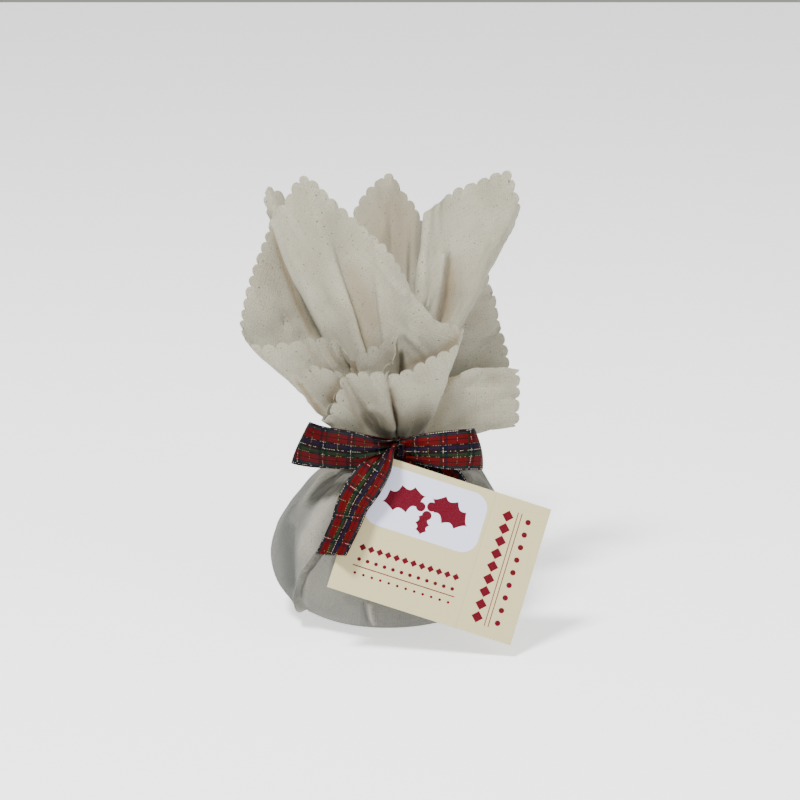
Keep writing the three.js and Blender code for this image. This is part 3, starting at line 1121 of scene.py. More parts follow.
    hem: dict[str, list[tuple[float, float, float, float]]] = field(
        default_factory=lambda: {
            "left corner": [
                (-80, 152, 38, 10), (-79.5, 149, 38, 10), (-78, 132, 38, 12), (-86, 108, 26, 14),
                (-92, 81, 10, 15), (-91, 62, -6, 13),
            ],
            "left flap": [
                (-84, 57, -14, 11), (-66, 58, -17, 8), (-50, 60, -19, 6), (-38, 58, -20, 5),
                (-28, 43, -22, 4),
            ],
            "middle flap": [
                (-25, 50, -16, 3), (-17, 56, -15, 3), (-11, 57, -14, 3), (-4, 62, -12, 3), (-8, 46, -26, 2),
                (-24, 38, -30, 3),
            ],
            "left pleat": [
                (-40, 35, -27, 5), (-59, 37, -28, 6), (-50, 45, -38, 5), (-39, 43, -41, 4),
                (-32, 38, -40, 3),
            ],
            "front flap": [
                (-37, 26, -41, 4), (-43, 15, -43, 4), (-39.5, 24, -46, 6), (-36, 31, -47, 5),
                (-33.5, 39, -46, 4), (-25, 42, -48, 4), (-15, 42, -52, 3), (-10, 42, -49, 2),
                (-9, 37, -35, 1), (-6, 40, -51, 3), (3, 43, -56, 4), (17, 49, -55, 6), (31, 55, -51, 8),
                (37, 63, -46, 8),
            ],
            "inner flap": [
                (33, 67, -39, 6), (25, 70, -30, 4), (20, 73, -22, 3), (10, 84, -19, 2),
            ],
            "tall corner": [
                (2, 96, -10, 2), (-9, 112, -2, 4), (-22, 125, 3, 8), (-37, 139, 4, 12), (-57, 155, -2, 15),
                (-67, 142, 0, 18), (-75, 127, 7, 18),
            ],
            "inner folds": [
                (-65, 116, 18, 16), (-42, 92, 18, 8), (-17, 58, 20, 4), (-6, 42, 16, 0), (10, 78, 14, 0),
                (17, 119, 12, 2),
            ],
            "right corner": [
                (15, 135, -4, 4), (22, 141, -2, 2), (31, 147, -1, 0), (45, 153, 0, 0), (61.5, 158, 0, 0),
                (65.5, 148, 0, 0), (68.5, 139, 4, 0),
            ],
            "right back": [
                (59, 122, 32, 0), (51, 102, 48, 0), (56, 85, 56, 0), (60, 65, 58, 0), (63.5, 48, 54, -2),
            ],
            "right flap": [
                (62, 33, 44, -6), (68, 43, 26, -13), (69, 34, 26, -10), (68.5, 23, 30, -4),
                (66.5, 12, 36, 0), (58, 14, 50, 0),
            ],
            "back right": [
                (45, 15, 58, 0), (33, 30, 56, 0), (28, 24, 64, 0), (20, 44, 60, 0), (24, 60, 68, 0),
                (14, 76, 62, 0), (18, 96, 72, 0), (10, 110, 64, 0), (14, 128, 68, 0),
            ],
            "back corner": [
                (10, 140, 64, 0), (1, 151, 68, 0), (-8, 162, 72, 0), (-19, 154, 68, 0), (-28, 141, 64, 0),
            ],
            "back left": [
                (-34, 116, 58, 2), (-30, 94, 66, 2), (-42, 78, 56, 4), (-34, 58, 66, 2), (-42, 42, 56, 4),
                (-32, 24, 62, 0), (-45, 22, 50, 2), (-47, 38, 58, 2), (-60, 48, 44, 6), (-57, 64, 56, 6),
                (-70, 78, 42, 10), (-66, 98, 50, 10), (-64, 112, 46, 12), (-59, 130, 50, 12),
                (-66, 141, 44, 12), (-77.5, 150.5, 39, 10),
            ],
        }
    )

    def tipped(self, places: np.ndarray) -> np.ndarray:
        """Turn places of the tipped frame into the part's frame.

        Args:
            places: across, up and back from the tie, one to a row.

        Returns:
            x, y and z from the tie.
        """
        lean = math.radians(LEAN)
        across, up, back = places[:, 0], places[:, 1], places[:, 2]
        y = up * math.sin(lean) + back * math.cos(lean)
        z = up * math.cos(lean) - back * math.sin(lean)
        return np.column_stack([across, y, z])

    def first_turns(self) -> dict[str, int]:
        """Count the turns of the hem before each fold.

        Returns:
            The counts by the folds' names.
        """
        starts = {}
        count = 0
        for name, fold in self.hem.items():
            starts[name] = count
            count += len(fold)
        return starts

    def hem_line(self, pieces: int = 24) -> tuple[np.ndarray, list[int]]:
        """Follow the hem once round.

        Args:
            pieces: samples for each stretch between two turns.

        Returns:
            The samples as x, y, z and sag, and the place of each corner among them.
        """
        turns = np.array([turn for fold in self.hem.values() for turn in fold], float)
        points = self.tipped(turns[:, :3]) + TIE
        line = through(points, True, pieces)
        sags = np.interp(
            np.arange(len(line)) / pieces, np.arange(len(turns) + 1), np.append(turns[:, 3], turns[0, 3])
        )
        starts = self.first_turns()
        places = [(starts[name] + turn) * pieces for name, turn in zip(self.corners, self.corner_turns)]
        order = np.arange(len(line)) / pieces
        return np.column_stack([line, sags, order]), places

    def columns(self) -> tuple[np.ndarray, np.ndarray]:
        """Place the folds' ends evenly between the corners of the square.

        Returns:
            The ends as x, y, z, sag and place along the turns, and their places on the flat square, both once
            round at half steps.
        """
        line, corners = self.hem_line()
        square = self.side / 2 * np.array([(-1, -1), (1, -1), (1, 1), (-1, 1), (-1, -1)])
        last = line[:1] + [[0, 0, 0, 0, sum(len(fold) for fold in self.hem.values())]]
        ends, flats = [], []
        for k, start in enumerate(corners):
            stop = corners[(k + 1) % 4]
            stretch = line[start : stop + 1] if stop > start else np.vstack([line[start:], last])
            lobes = round(lengths_along(stretch)[-1] / self.pitch)
            count = lobes * self.per_lobe * 2
            ends.append(evenly(stretch, count + 1)[:-1])
            share = np.linspace(0, 1, count, endpoint=False)[:, None]
            flats.append(square[k] + (square[k + 1] - square[k]) * share)
        return np.vstack(ends), np.vstack(flats)

    def surface(self, ends: np.ndarray, flats: np.ndarray) -> tuple[np.ndarray, np.ndarray, np.ndarray]:
        """Run each fold from the throat to its end.

        Args:
            ends: the folds' ends as x, y, z and sag.
            flats: their places on the flat square.

        Returns:
            The points and their places on the flat square, by row and column, and each point's share of the
            way along its fold.
        """
        hem, sag = ends[:, :3], ends[:, 3]
        toward = hem - THROAT
        reach = np.linalg.norm(toward, axis=1, keepdims=True)
        toward /= reach
        # folds that come forward or hang low leave the throat lower down
        low = np.maximum(np.clip(-toward[:, 1:2] * 1.6, 0, 1), 1 - smooth(toward[:, 2:], 0.2, 0.75))
        start = THROAT + self.neck * toward * (1, 1, 0) - low * self.drop * (0, 0, 1)
        drop = self.tipped(np.array([[0.0, -1.0, 0.0]]))[0]
        steps = np.linspace(0, 1, self.rows - 1)[:, None, None]
        first = self.buried / reach[None]
        inside = first + (1 - self.margin / reach[None] - first) * steps
        s = np.concatenate([inside, np.ones_like(inside[:1])])
        points = start + (hem - start) * s + drop * (4 * s * (1 - s) * sag[None, :, None])
        fold, turn, wide, lift = self.level
        near = np.exp(-(((ends[:, 4] - self.first_turns()[fold] - turn) / wide) ** 2))[None, :, None]
        points = points - drop * (lift * (1 - s) ** 2 * smooth(s, 0.05, 0.35) * near)
        polar = np.linalg.norm(flats, axis=1, keepdims=True)
        inner = flats / polar * TIED
        return points, inner + (flats - inner) * s, s[..., 0]

    def pressed(self, points: np.ndarray, order: np.ndarray, s: np.ndarray) -> tuple[np.ndarray, np.ndarray]:
        """Press the named creases in.

        Args:
            points: the smooth points, by row and column.
            order: each column's place along the turns of the hem.
            s: each point's share of its fold.

        Returns:
            How far each point moves along its normal, and how much painted shade darkens it.
        """
        starts = self.first_turns()
        step = np.linalg.norm(np.diff(points, axis=1, append=points[:, :1]), axis=-1)
        along = np.cumsum(step, axis=1)
        total = along[:, -1:]
        move, painted_shade = np.zeros_like(s), np.zeros_like(s)
        for crease in self.creases:
            sense = -1 if crease.fold in self.inner_faces else 1
            middle = int(np.argmin(np.abs(order - (starts[crease.fold] + crease.turn))))
            across = sense * ((along - along[:, middle : middle + 1] + total / 2) % total - total / 2)
            out, dark = crease.apply(across, s)
            move += sense * out
            painted_shade = np.maximum(painted_shade, dark)
        view = in_view(points)
        for fold, first, last, mark in self.marks:
            sense = -1 if fold in self.inner_faces else 1
            within = window(order - starts[fold], first, last, 0.3)
            out, dark = mark.apply(view)
            move += sense * out * within
            painted_shade = np.maximum(painted_shade, dark * within)
        return move, painted_shade

    def creased(self, flats: np.ndarray, s: np.ndarray) -> np.ndarray:
        """Give the folds their gathers, soft waves and crumples.

        Args:
            flats: the points' places on the flat square, by row and column.
            s: each point's share of its fold.

        Returns:
            How far each point moves along its normal.
        """
        angle = np.arctan2(flats[..., 1], flats[..., 0])
        radius = np.linalg.norm(flats, axis=-1)
        ring = np.stack([np.cos(angle) * 100, np.sin(angle) * 100, radius * 0.12], axis=-1)
        gathers = lumps(ring, 9.0, 3.1) + 0.6 * lumps(ring, 4.5, 8.7)
        waves = lumps(flats, 70.0, 1.7)
        ripples = lumps(flats, 26.0, 5.2)
        up, down = lines(flats, 60.0, 9.4, 11, 1.3), lines(flats, 48.0, 2.4, 10, 1.3)
        move = self.gather * gathers * smooth(s, 0.02, 0.2) * (1 - 0.85 * smooth(s, 0.3, 0.85))
        move = move + self.wave * waves * smooth(s, 0.1, 0.7) + self.ripple * ripples * smooth(s, 0.2, 0.8)
        move = move + (self.raised * up - self.sunk * down) * smooth(s, 0.1, 0.4)
        return move + self.crumple * lumps(flats, 5.0, 2.6)

    def crushed(self, flats: np.ndarray, order: np.ndarray, s: np.ndarray) -> np.ndarray:
        """Crumple the one fold that lies crushed.

        Args:
            flats: the points' places on the flat square, by row and column.
            order: each column's place along the turns of the hem.
            s: each point's share of its fold.

        Returns:
            How far each point moves along its normal.
        """
        fold, first, last, depth = self.crumpled
        within = window(order - self.first_turns()[fold], first, last, 0.5)
        return depth * lumps(flats, 13.0, 6.6) * within * smooth(s, 0.3, 0.6)

    def sheet(self) -> Sheet:
        """Make the crown with its pinked hem.

        Returns:
            The closed sheet.
        """
        ends, flats = self.columns()
        points, places, s = self.surface(ends, flats)
        order = ends[:, 4]
        move, painted_shade = self.pressed(points, order, s)
        move = move + self.creased(places, s) + self.crushed(places, order, s)
        move[-1] = move[-2]
        points = points + ring_normals(points, 2) * move[..., None]
        hem = self.pinked(points, order)
        shade = np.maximum(self.throat_shade(points), painted_shade)
        fray = loose_threads(hem, unit(hem - points[-2]), places[-1], self.fray, self.thread, self.seed)
        rows, columns = self.rows - 1, len(hem) // 2
        cloth = Sheet(
            np.vstack([points[:-1, ::2].reshape(-1, 3), hem]),
            grid_faces(rows, columns, True) + self.hem_faces(rows, columns),
            np.vstack([places[:-1, ::2].reshape(-1, 2), places[-1]]),
            np.concatenate([shade[:-1, ::2].ravel(), shade[-1]]),
        )
        return cloth.thick(self.cloth).joined(fray)

    def hem_faces(self, rows: int, columns: int) -> list[tuple[int, ...]]:
        """List the faces between the last row and the hem, which has twice as many points.

        Args:
            rows: how many rows the grid has.
            columns: how many points each row has.

        Returns:
            Three triangles for each column.
        """
        edge, hem = (rows - 1) * columns, rows * columns
        faces = []
        for j in range(columns):
            k = (j + 1) % columns
            a, b, c = hem + 2 * j, hem + 2 * j + 1, hem + 2 * k
            faces += [(edge + j, b, a), (edge + j, edge + k, b), (edge + k, c, b)]
        return faces

    def throat_shade(self, points: np.ndarray) -> np.ndarray:
        """Return how much darker each point is where the folds meet at the throat."""
        reach = np.linalg.norm(points - THROAT, axis=-1)
        return self.throat_dark * (1 - smooth(reach, *self.throat_reach))

    def pinked(self, points: np.ndarray, order: np.ndarray) -> np.ndarray:
        """Cut the hem into round lobes.

        Args:
            points: the points, by row and column.
            order: each column's place along the turns of the hem.

        Returns:
            The last row's points with the lobes.
        """
        hem = points[-1]
        along = unit(np.roll(hem, -1, axis=0) - np.roll(hem, 1, axis=0))
        out = hem - points[-2]
        out = unit(out - along * np.sum(out * along, axis=1, keepdims=True))
        count = np.arange(len(hem)) / (2 * self.per_lobe) + 0.5
        lobe = np.sqrt(np.clip(1 - (2 * (count % 1) - 1) ** 2, 0, 1))
        worn = 1 + self.lobe_wear * np.sin(count * 2.3) * np.sin(count * 0.71 + 1)
        starts = self.first_turns()
        for name, first, last in self.turned_under:
            worn = worn * (1 - self.lobe_hidden * window(order - starts[name], first, last, 0.4))
        return hem + out * (self.lobe_depth * worn * (lobe - 0.6))[:, None]


@dataclass
class Ball:
    """The pudding in the lower part of the cloth, up to the throat."""

    profile: tuple[tuple[float, float], ...] = (
        (34, 0), (46, 3.5), (56, 10), (64, 19.5), (68.5, 31), (69, 41), (66.5, 53), (62, 63.5), (55, 75),
        (46, 85), (34, 90.5), (24, 93.5), (17, 95.5), (14.2, 98), (13.6, 101), (13.6, 109), (11, 113),
    )
    depth_share: float = 0.9
    columns: int = 480
    pieces: int = 9
    gather: float = 2.6
    wave: float = 1.8
    crease: float = 0.35
    crumple: float = 0.2
    pleats: int = 13
    pleat_depth: float = 3.2
    pleat_shade: float = 0.6
    neck_share: float = 0.5
    pleat_top: float = 92.0
    pleat_reach: float = 46.0
    show_through_and_shade: float = 0.67
    # each wrinkle's shade, the number after its kind, paints the colour: above 0 painted shade, such as the
    # broad valley down the left side for the shadow under the crown's overhang and the step for the shadow
    # beside the overlapping edge; below 0 the swells are painted lighter, partly painted light on ridges that
    # face the lamp and partly the cloth lying double there
    wrinkles: tuple[Wrinkle, ...] = (
        Wrinkle(
            ((-22, -12), (-29, -19), (-41, -34), (-49, -47), (-53, -58), (-55, -70)),
            9.0, 3.6, Fold.SWELL, -1.0,
        ),
        Wrinkle(
            ((-51, -48), (-55, -58), (-57.5, -68), (-59, -79), (-58, -100)),
            5.0, 2.4, Fold.SWELL, -1.0,
        ),
        Wrinkle(
            ((-50, -6), (-61, -22), (-66, -40), (-67, -58), (-64, -84), (-56, -104)),
            18.0, 0.3, Fold.VALLEY, 1.0,
        ),
        Wrinkle(
            (
                (-38, -50), (-48, -63), (-52.5, -68.5), (-55.6, -72.7),
                (-57.7, -78), (-59, -83), (-59, -88.4), (-55, -97),
            ),
            1.5, 3.6, Fold.STEP, 0.8,
        ),
        Wrinkle(((-62, -42), (-63.5, -56), (-64, -70), (-62.5, -86)), 4.0, 2.0, Fold.VALLEY, 0.3),
        Wrinkle(((-40, -14), (-50, -25), (-60, -38), (-64, -48)), 4.0, 2.4, Fold.SWELL, -0.5),
        Wrinkle(((-36, -15), (-46, -27), (-55, -38)), 3.5, 1.0, Fold.VALLEY, 0.2),
        Wrinkle(((-50, -15), (-58, -26), (-64, -36)), 4.0, 2.4, Fold.VALLEY, 0.2),
        Wrinkle(((-19, -88), (-18, -96), (-15.5, -105)), 2.4, 2.6, Fold.SWELL, -0.8),
        Wrinkle(((-22.5, -88), (-21.5, -96), (-19, -106)), 2.0, 1.8, Fold.VALLEY, 0.5),
        Wrinkle(((40, -15), (50, -26), (56, -40)), 6.0, 3.0),
        Wrinkle(((46, -12), (58, -24), (64, -38)), 6.0, 2.6, Fold.SWELL, -0.5),
        Wrinkle(((-46, -98), (-36, -90), (-28, -84)), 5.0, 1.6),
    )

    def pleat(self, angle: np.ndarray, height: np.ndarray) -> np.ndarray:
        """Tell how deep the gathers cut in.

        Args:
            angle: the angle round the ball.
            height: the height above the floor.

        Returns:
            Millimetres, below 0.
        """
        fade = np.clip(1 - (self.pleat_top - height) / self.pleat_reach, 0, 1)
        wave = np.sin(self.pleats * angle + 1.7 * np.sin(2 * angle) + 0.9 * np.sin(3 * angle + 1))
        at_neck = np.where(height > self.pleat_top, self.neck_share, 1)
        return -self.pleat_depth * fade**2 * at_neck * (0.5 + 0.5 * wave)

    def relief(self, angle: np.ndarray, r: np.ndarray, z: np.ndarray) -> tuple[np.ndarray, np.ndarray]:
        """Give the ball its gathers, soft waves, creases and crumples.

        Args:
            angle: the angle round the ball, by row and column.
            r: the distance from its axis.
            z: the height above the floor.

        Returns:
            How far each point moves along its normal, and the soft waves alone.
        """
        cos, sin = np.cos(angle), np.sin(angle)
        ring = np.stack([cos * 60, sin * 60, z * 0.35], axis=-1)
        gathers = lumps(ring, 7.0, 4.4) + 0.5 * lumps(ring, 3.5, 6.1)
        places = np.stack([cos * r, sin * r, z], axis=-1)
        waves = lumps(places, 38.0, 2.2)
        fine = self.crease * lines(places, 30.0, 3.9, 8, 1.5) + self.crumple * lumps(places, 9.0, 7.7)
        move = self.gather * gathers * smooth(z, 45, 92) * (1 - 0.7 * smooth(z, 93, 97))
        return move + smooth(z, 0.5, 14) * (self.wave * waves + fine), waves

    def pressed(self, points: np.ndarray) -> tuple[np.ndarray, np.ndarray, np.ndarray]:
        """Press the named wrinkles into the front.

        Args:
            points: the smooth points, by row and column.

        Returns:
            How far each point moves along its normal, how much painted shade darkens it, and how much lighter
            it is painted.
        """
        z = points[..., 2]
        view = in_view(points)
        front = smooth(-points[..., 1], 0, 12) * smooth(z, 0.5, 14) * (1 - smooth(z, 88, 94))
        move, painted_shade, light = np.zeros_like(z), np.zeros_like(z), np.zeros_like(z)
        for wrinkle in self.wrinkles:
            out, dark = wrinkle.apply(view)
            move += out * front
            painted_shade = np.maximum(painted_shade, dark * front)
            light = np.maximum(light, -dark * front)
        return move, painted_shade, light

    def end_faces(self, count: int) -> list[tuple[int, ...]]:
        """List the triangles that close the ball at its foot and its top.

        Args:
            count: how many points the grid has; the two middles follow them.

        Returns:
            Two triangles for each column.
        """
        top = count - self.columns
        faces = []
        for j in range(self.columns):
            k = (j + 1) % self.columns
            faces += [(k, j, count), (top + j, top + k, count + 1)]
        return faces

    def sheet(self) -> Sheet:
        """Make the closed ball.

        Returns:
            The ball as one closed surface.
        """
        line = through(np.array([(r, z, 0) for r, z in self.profile], float), False, self.pieces)
        turns = np.linspace(0, 2 * math.pi, self.columns, endpoint=False)
        angle, r = np.meshgrid(turns, line[:, 0])
        z = np.meshgrid(turns, line[:, 1])[1]
        pleat = self.pleat(angle, z)
        reach = r + np.where((z > 0.5) & (z < z[-1, 0]), pleat, 0)
        shift = TIE[0] * smooth(z, 30, TIE[2])
        points = np.stack(
            [shift + reach * np.cos(angle), reach * np.sin(angle) * self.depth_share, z], axis=-1
        )
        relief, waves = self.relief(angle, r, z)
        move, painted_shade, light = self.pressed(points)
        points = points + ring_normals(points, 1) * (relief + move)[..., None]
        meridian = lengths_along(line) + line[0, 0]
        out = (meridian * TIED / meridian[-1])[:, None]
        flat = np.stack([out * np.cos(angle), out * np.sin(angle)], axis=-1)
        # painted shade in the hollows of the gathers near the neck
        shade = np.clip(-pleat / self.pleat_depth, 0, 1) * self.pleat_shade * smooth(z, 60, 95)
        # darker where the cloth lies in one layer: partly the pudding showing through it and partly painted
        # shade; less so near the top, and not where the swells are painted lighter
        single = self.show_through_and_shade * (1 - light) * (1 - 0.6 * smooth(z, 75, 95)) * (1 + 0.4 * waves)
        shade = np.maximum(np.maximum(shade, painted_shade), single)
        return Sheet(
            np.vstack([points.reshape(-1, 3), points[0].mean(axis=0), points[-1].mean(axis=0)]),
            grid_faces(len(line), self.columns, True) + self.end_faces(z.size),
            np.vstack([flat.reshape(-1, 2), np.zeros((2, 2))]),
            np.append(shade.ravel(), [0, 0]),
        )


@dataclass
class PuddingCloth:
    """The square of calico: the ball that it holds and its free crown."""

    ball: Ball = field(default_factory=Ball)
    crown: Crown = field(default_factory=Crown)
    finish: CalicoFinish = field(default_factory=CalicoFinish)
    filled: CalicoFinish = field(
        default_factory=lambda: CalicoFinish(
            "calico_over_pudding", (0.34, 0.328, 0.262, 1), (0.29, 0.28, 0.225, 1), (0.06, 0.062, 0.058, 1),
            shade_strength=0.95,
        )
    )
    rays: int = 11
    ray_length: float = 26.0
    ray_start: float = 0.4
    ray_spread: float = 0.85
    hollow_shade_depths: tuple[float, float] = (0.5, 0.45)

    def paint_hollow_shade(self, sheets: Sequence[Sheet]) -> None:
        """Paint shade into the points that lie deep in folds, where rays from them soon meet cloth.

        Args:
            sheets: the closed sheets, whose shades are changed.
        """
        points, faces = np.empty((0, 3)), []
        for sheet in sheets:
            faces += [tuple(len(points) + index for index in face) for face in sheet.faces]
            points = np.vstack([points, sheet.points])
        tree = BVHTree.FromPolygons(points.tolist(), faces)
        turn = np.arange(self.rays) * GOLDEN
        up = 1 - (np.arange(self.rays) + 0.5) / self.rays * self.ray_spread
        out = np.sqrt(1 - up**2)
        spread = np.stack([out * np.cos(turn), out * np.sin(turn), up], axis=-1)
        for sheet, depth in zip(sheets, self.hollow_shade_depths):
            normals = sheet.normals()
            sides = unit(np.cross(normals, OBLIQUE))
            rays = spread @ np.stack([sides, np.cross(normals, sides), normals], axis=1)
            shut = np.zeros(len(sheet.points))
            for i, start in enumerate(sheet.points + normals * self.ray_start):
                for ray in rays[i].tolist():
                    reach = tree.ray_cast(Vector(start), Vector(ray), self.ray_length)[3]
                    if reach is not None:
                        shut[i] += 1 - reach / self.ray_length
            sheet.shade = np.clip(np.maximum(sheet.shade, depth * shut / self.rays), 0, 1)

    def build(self) -> list[bpy.types.Object]:
        """Make and dress both parts of the cloth.

        Returns:
            The ball and the crown.
        """
        sheets = [self.ball.sheet(), self.crown.sheet()]
        self.paint_hollow_shade(sheets)
        ball = sheets[0].piece("pudding_ball", self.filled.material())
        crown = sheets[1].piece("cloth_crown", self.finish.material())
        free = (self.crown.side**2 - math.pi * TIED**2) * MM * MM
        side = self.crown.side * MM
        for obj in (ball, crown):
            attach(obj, "root")
            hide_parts("cloth")
        LOG.info("flat cloth %.3f m, free area %.3f m2", side, free)
        return [ball, crown]


# ---- The ribbon ----


class Cut(Enum):
    """How a strip of ribbon ends."""

    HIDDEN = "under the knot"
    SLANTED = "cut at a slant"


@dataclass
class Strip:
    """One run of the ribbon through stations of a centre and a direction across."""

    stations: tuple[tuple[tuple[float, float, float], tuple[float, float, float]], ...]
    cut: Cut = Cut.HIDDEN
    slant: float = 0.0
    start: float = 0.0
    camber: float = 0.0
    pinches: tuple[float, float] = (2.4, 0.9)
    wobble: float = 0.5
    ends: int = 64
    fray: float = 1.8
    thread: float = 0.35
    seed: int = 5

    def sheet(self, width: float, thickness: float, rows: int = 120, columns: int = 24) -> Sheet:
        """Make the run.

        Args:
            width: the ribbon's width.
            thickness: its thickness.
            rows: samples along it.
            columns: samples across it.

        Returns:
            The closed strip.
        """
        table = np.array(self.stations, float)
        line = through(np.column_stack([table[:, 0], table[:, 1]]), False, 24)
        line = evenly(line, rows)
        centre, across = line[:, :3], line[:, 3:]
        half = np.linalg.norm(across, axis=1, keepdims=True) * width / 2
        tangent = unit(np.gradient(centre, axis=0))
        across = unit(across - tangent * np.sum(across * tangent, axis=1, keepdims=True))
        face = np.cross(tangent, across)
        w = np.linspace(-1, 1, columns)[None, :, None]
        length = lengths_along(centre)[:, None, None]
        end = smooth(length, length[-1] - 14, length[-1]) * self.slant
        pinch = np.clip(1 - half * 2 / width, 0, 1)[:, None]
        wide, narrow = self.pinches
        fold = (wide * np.cos(w * math.pi * 3.5) + narrow * np.cos(w * math.pi * 5 + 1)) * pinch
        wobble = self.wobble * np.sin(length / 9.0 + w * 1.2) + self.camber * (1 - w**2) * (1 - pinch)
        points = centre[:, None] + across[:, None] * (half[:, None] * w)
        points = points + face[:, None] * (fold + wobble) + tangent[:, None] * (end * w)
        flat = np.concatenate(
            [(w + 1) * width / 2 + 0 * length, length + self.start + end * w], axis=-1
        ).reshape(-1, 2)
        strip = Sheet(points.reshape(-1, 3), grid_faces(rows, columns, False), flat).thick(thickness)
        if self.cut is Cut.HIDDEN:
            return strip
        last = evenly(np.column_stack([points[-1], flat.reshape(rows, columns, 2)[-1]]), self.ends)
        ways = np.repeat(tangent[-1:], self.ends, axis=0)
        fray = loose_threads(last[:, :3], ways, last[:, 3:], self.fray, self.thread, self.seed)
        return strip.joined(fray)


@dataclass
class RibbonBow:
    """The tartan ribbon: a band round the neck, the knot, two loops and two tails."""

    width: float = 23.0
    thickness: float = 0.35
    band_radius: float = 14.9
    band_height: float = 7.0
    band_middle: float = 102.5
    band_gather: float = 0.45
    band_grid: tuple[int, int] = (120, 16)
    knot_centre: tuple[float, float, float] = (5.5, -26, 106)
    knot_size: tuple[float, float, float] = (13, 22, 13)
    knot_crease: float = 0.05
    knot_skew: float = 1.2
    knot_grid: tuple[int, int] = (40, 48)
    finish: TartanFinish = field(default_factory=TartanFinish)
    strips: dict[str, Strip] = field(
        default_factory=lambda: {
            "left loop": Strip((
                ((5, -32, 109), (0, 0, 0.35)), ((-4, -46.2, 111.8), (0, -0.05, 0.48)),
                ((-14, -47, 111), (0, -0.05, 0.9)), ((-25, -46, 111.5), (0.1, 0, 1)),
                ((-38, -43, 112.3), (0.25, 0, 1)), ((-48, -35, 112), (0.45, 0, 1)),
                ((-47, -29, 109), (0.45, 0, 1)), ((-33, -25, 106), (0.2, 0, 1)),
                ((-16, -23, 105), (0, 0, 0.8)), ((3, -23, 105), (0, 0, 0.5)),
            ), camber=-2.6),
            "right loop": Strip((
                ((6, -28, 106), (0, 0, 0.5)), ((22, -40, 109.5), (0, -0.1, 0.85)),
                ((36, -42, 110), (-0.1, 0, 1)), ((45.5, -39, 109.5), (-0.2, 0, 1)),
                ((50.5, -33, 108), (-0.27, 0, 1)), ((49, -27, 106), (-0.27, 0, 1)),
                ((38, -24, 104), (-0.1, 0, 1)), ((22, -22, 104), (0, 0, 0.8)), ((8, -22, 105), (0, 0, 0.5)),
            ), start=4.0, camber=2.6),
            "left tail": Strip((
                ((5, -33, 108), (0.2, 0, 0.3)), ((1.5, -44, 110), (0.3, 0, 0.3)),
                ((-3, -49.5, 106.6), (0.6, 0, 0.3)), ((-10.9, -53.4, 96.2), (0.86, -0.3, 0.2)),
                ((-19.2, -57.2, 83.8), (0.86, -0.42, 0.18)), ((-23.6, -63.1, 72.9), (0.8, -0.55, 0.18)),
                ((-31.6, -71.4, 57.6), (0.72, -0.66, 0.18)),
            ), Cut.SLANTED, -2.0, 7.0),
            "right tail": Strip((
                ((7, -27, 103), (0.3, 0.1, -0.3)), ((16, -32, 100), (0.4, 0.2, 0.1)),
                ((25, -35, 95.5), (0.7, 0.25, 0.5)), ((33, -39.8, 88.4), (0.75, 0.2, 0.6)),
                ((38, -43.5, 80.4), (0.75, 0.2, 0.6)),
            ), Cut.SLANTED, -3.0, 2.0),
        }
    )

    def band(self) -> Sheet:
        """Make the band round the neck, its width gathered into folds.

        Returns:
            The closed band.
        """
        rows, columns = self.band_grid
        w, angle = np.meshgrid(np.linspace(-1, 1, columns), np.linspace(0, 2 * math.pi, rows, endpoint=False))
        radius = self.band_radius + self.band_gather * np.cos(w * math.pi * 3 + 0.6 * np.sin(3 * angle))
        x, y = TIE[0] + radius * np.cos(angle), TIE[1] + radius * np.sin(angle)
        points = np.stack([x, y, self.band_middle + w * self.band_height / 2], axis=-1)
        flat = np.stack([(w + 1) * self.width / 2, angle * self.band_radius], axis=-1)
        faces = []
        for i in range(rows):
            low, high = i * columns, (i + 1) % rows * columns
            faces += [(low + j, high + j, high + j + 1, low + j + 1) for j in range(columns - 1)]
        return Sheet(points.reshape(-1, 3), faces, flat.reshape(-1, 2)).thick(self.thickness)

    def knot(self) -> Sheet:
        """Make the knot: the ribbon wound tight over itself, with creases round it.

        Returns:
            The closed knot.
        """
        rows, columns = self.knot_grid
        turns = np.linspace(0, 2 * math.pi, columns, endpoint=False)
        turn, polar = np.meshgrid(turns, np.linspace(0.02, math.pi - 0.02, rows))
        width, depth, height = (size / 2 for size in self.knot_size)
        w = -np.cos(polar)
        swell = np.sin(polar) ** 0.6 * (1 + self.knot_crease * np.cos(w * 14 + 0.8 * np.sin(turn)))
        x = width * w + self.knot_skew * np.sin(turn)
        around = np.stack([x, depth * swell * np.cos(turn), height * swell * np.sin(turn)], axis=-1)
        points = np.array(self.knot_centre) + around
        flat = np.stack([(w * 0.6 + 1) * self.width / 2, turn * 8], axis=-1)
        faces = [tuple(reversed(face)) for face in grid_faces(rows, columns, True)]
        faces.append(tuple(range(columns)))
        faces.append(tuple(reversed(range((rows - 1) * columns, rows * columns))))
        flats = np.column_stack([flat.reshape(-1, 2), np.ones(rows * columns)])
        return Sheet(points.reshape(-1, 3), faces, flats)

    def build(self) -> list[bpy.types.Object]:
        """Make and dress the bow.

        Returns:
            The bow in a list.
        """
        whole = self.band().joined(self.knot())
        for strip in self.strips.values():
            whole = whole.joined(strip.sheet(self.width, self.thickness))
        bow = whole.piece("tartan_bow", self.finish.material())
        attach(bow, "root")
        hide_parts("ribbon_bow")
        return [bow]


# ---- The card ----


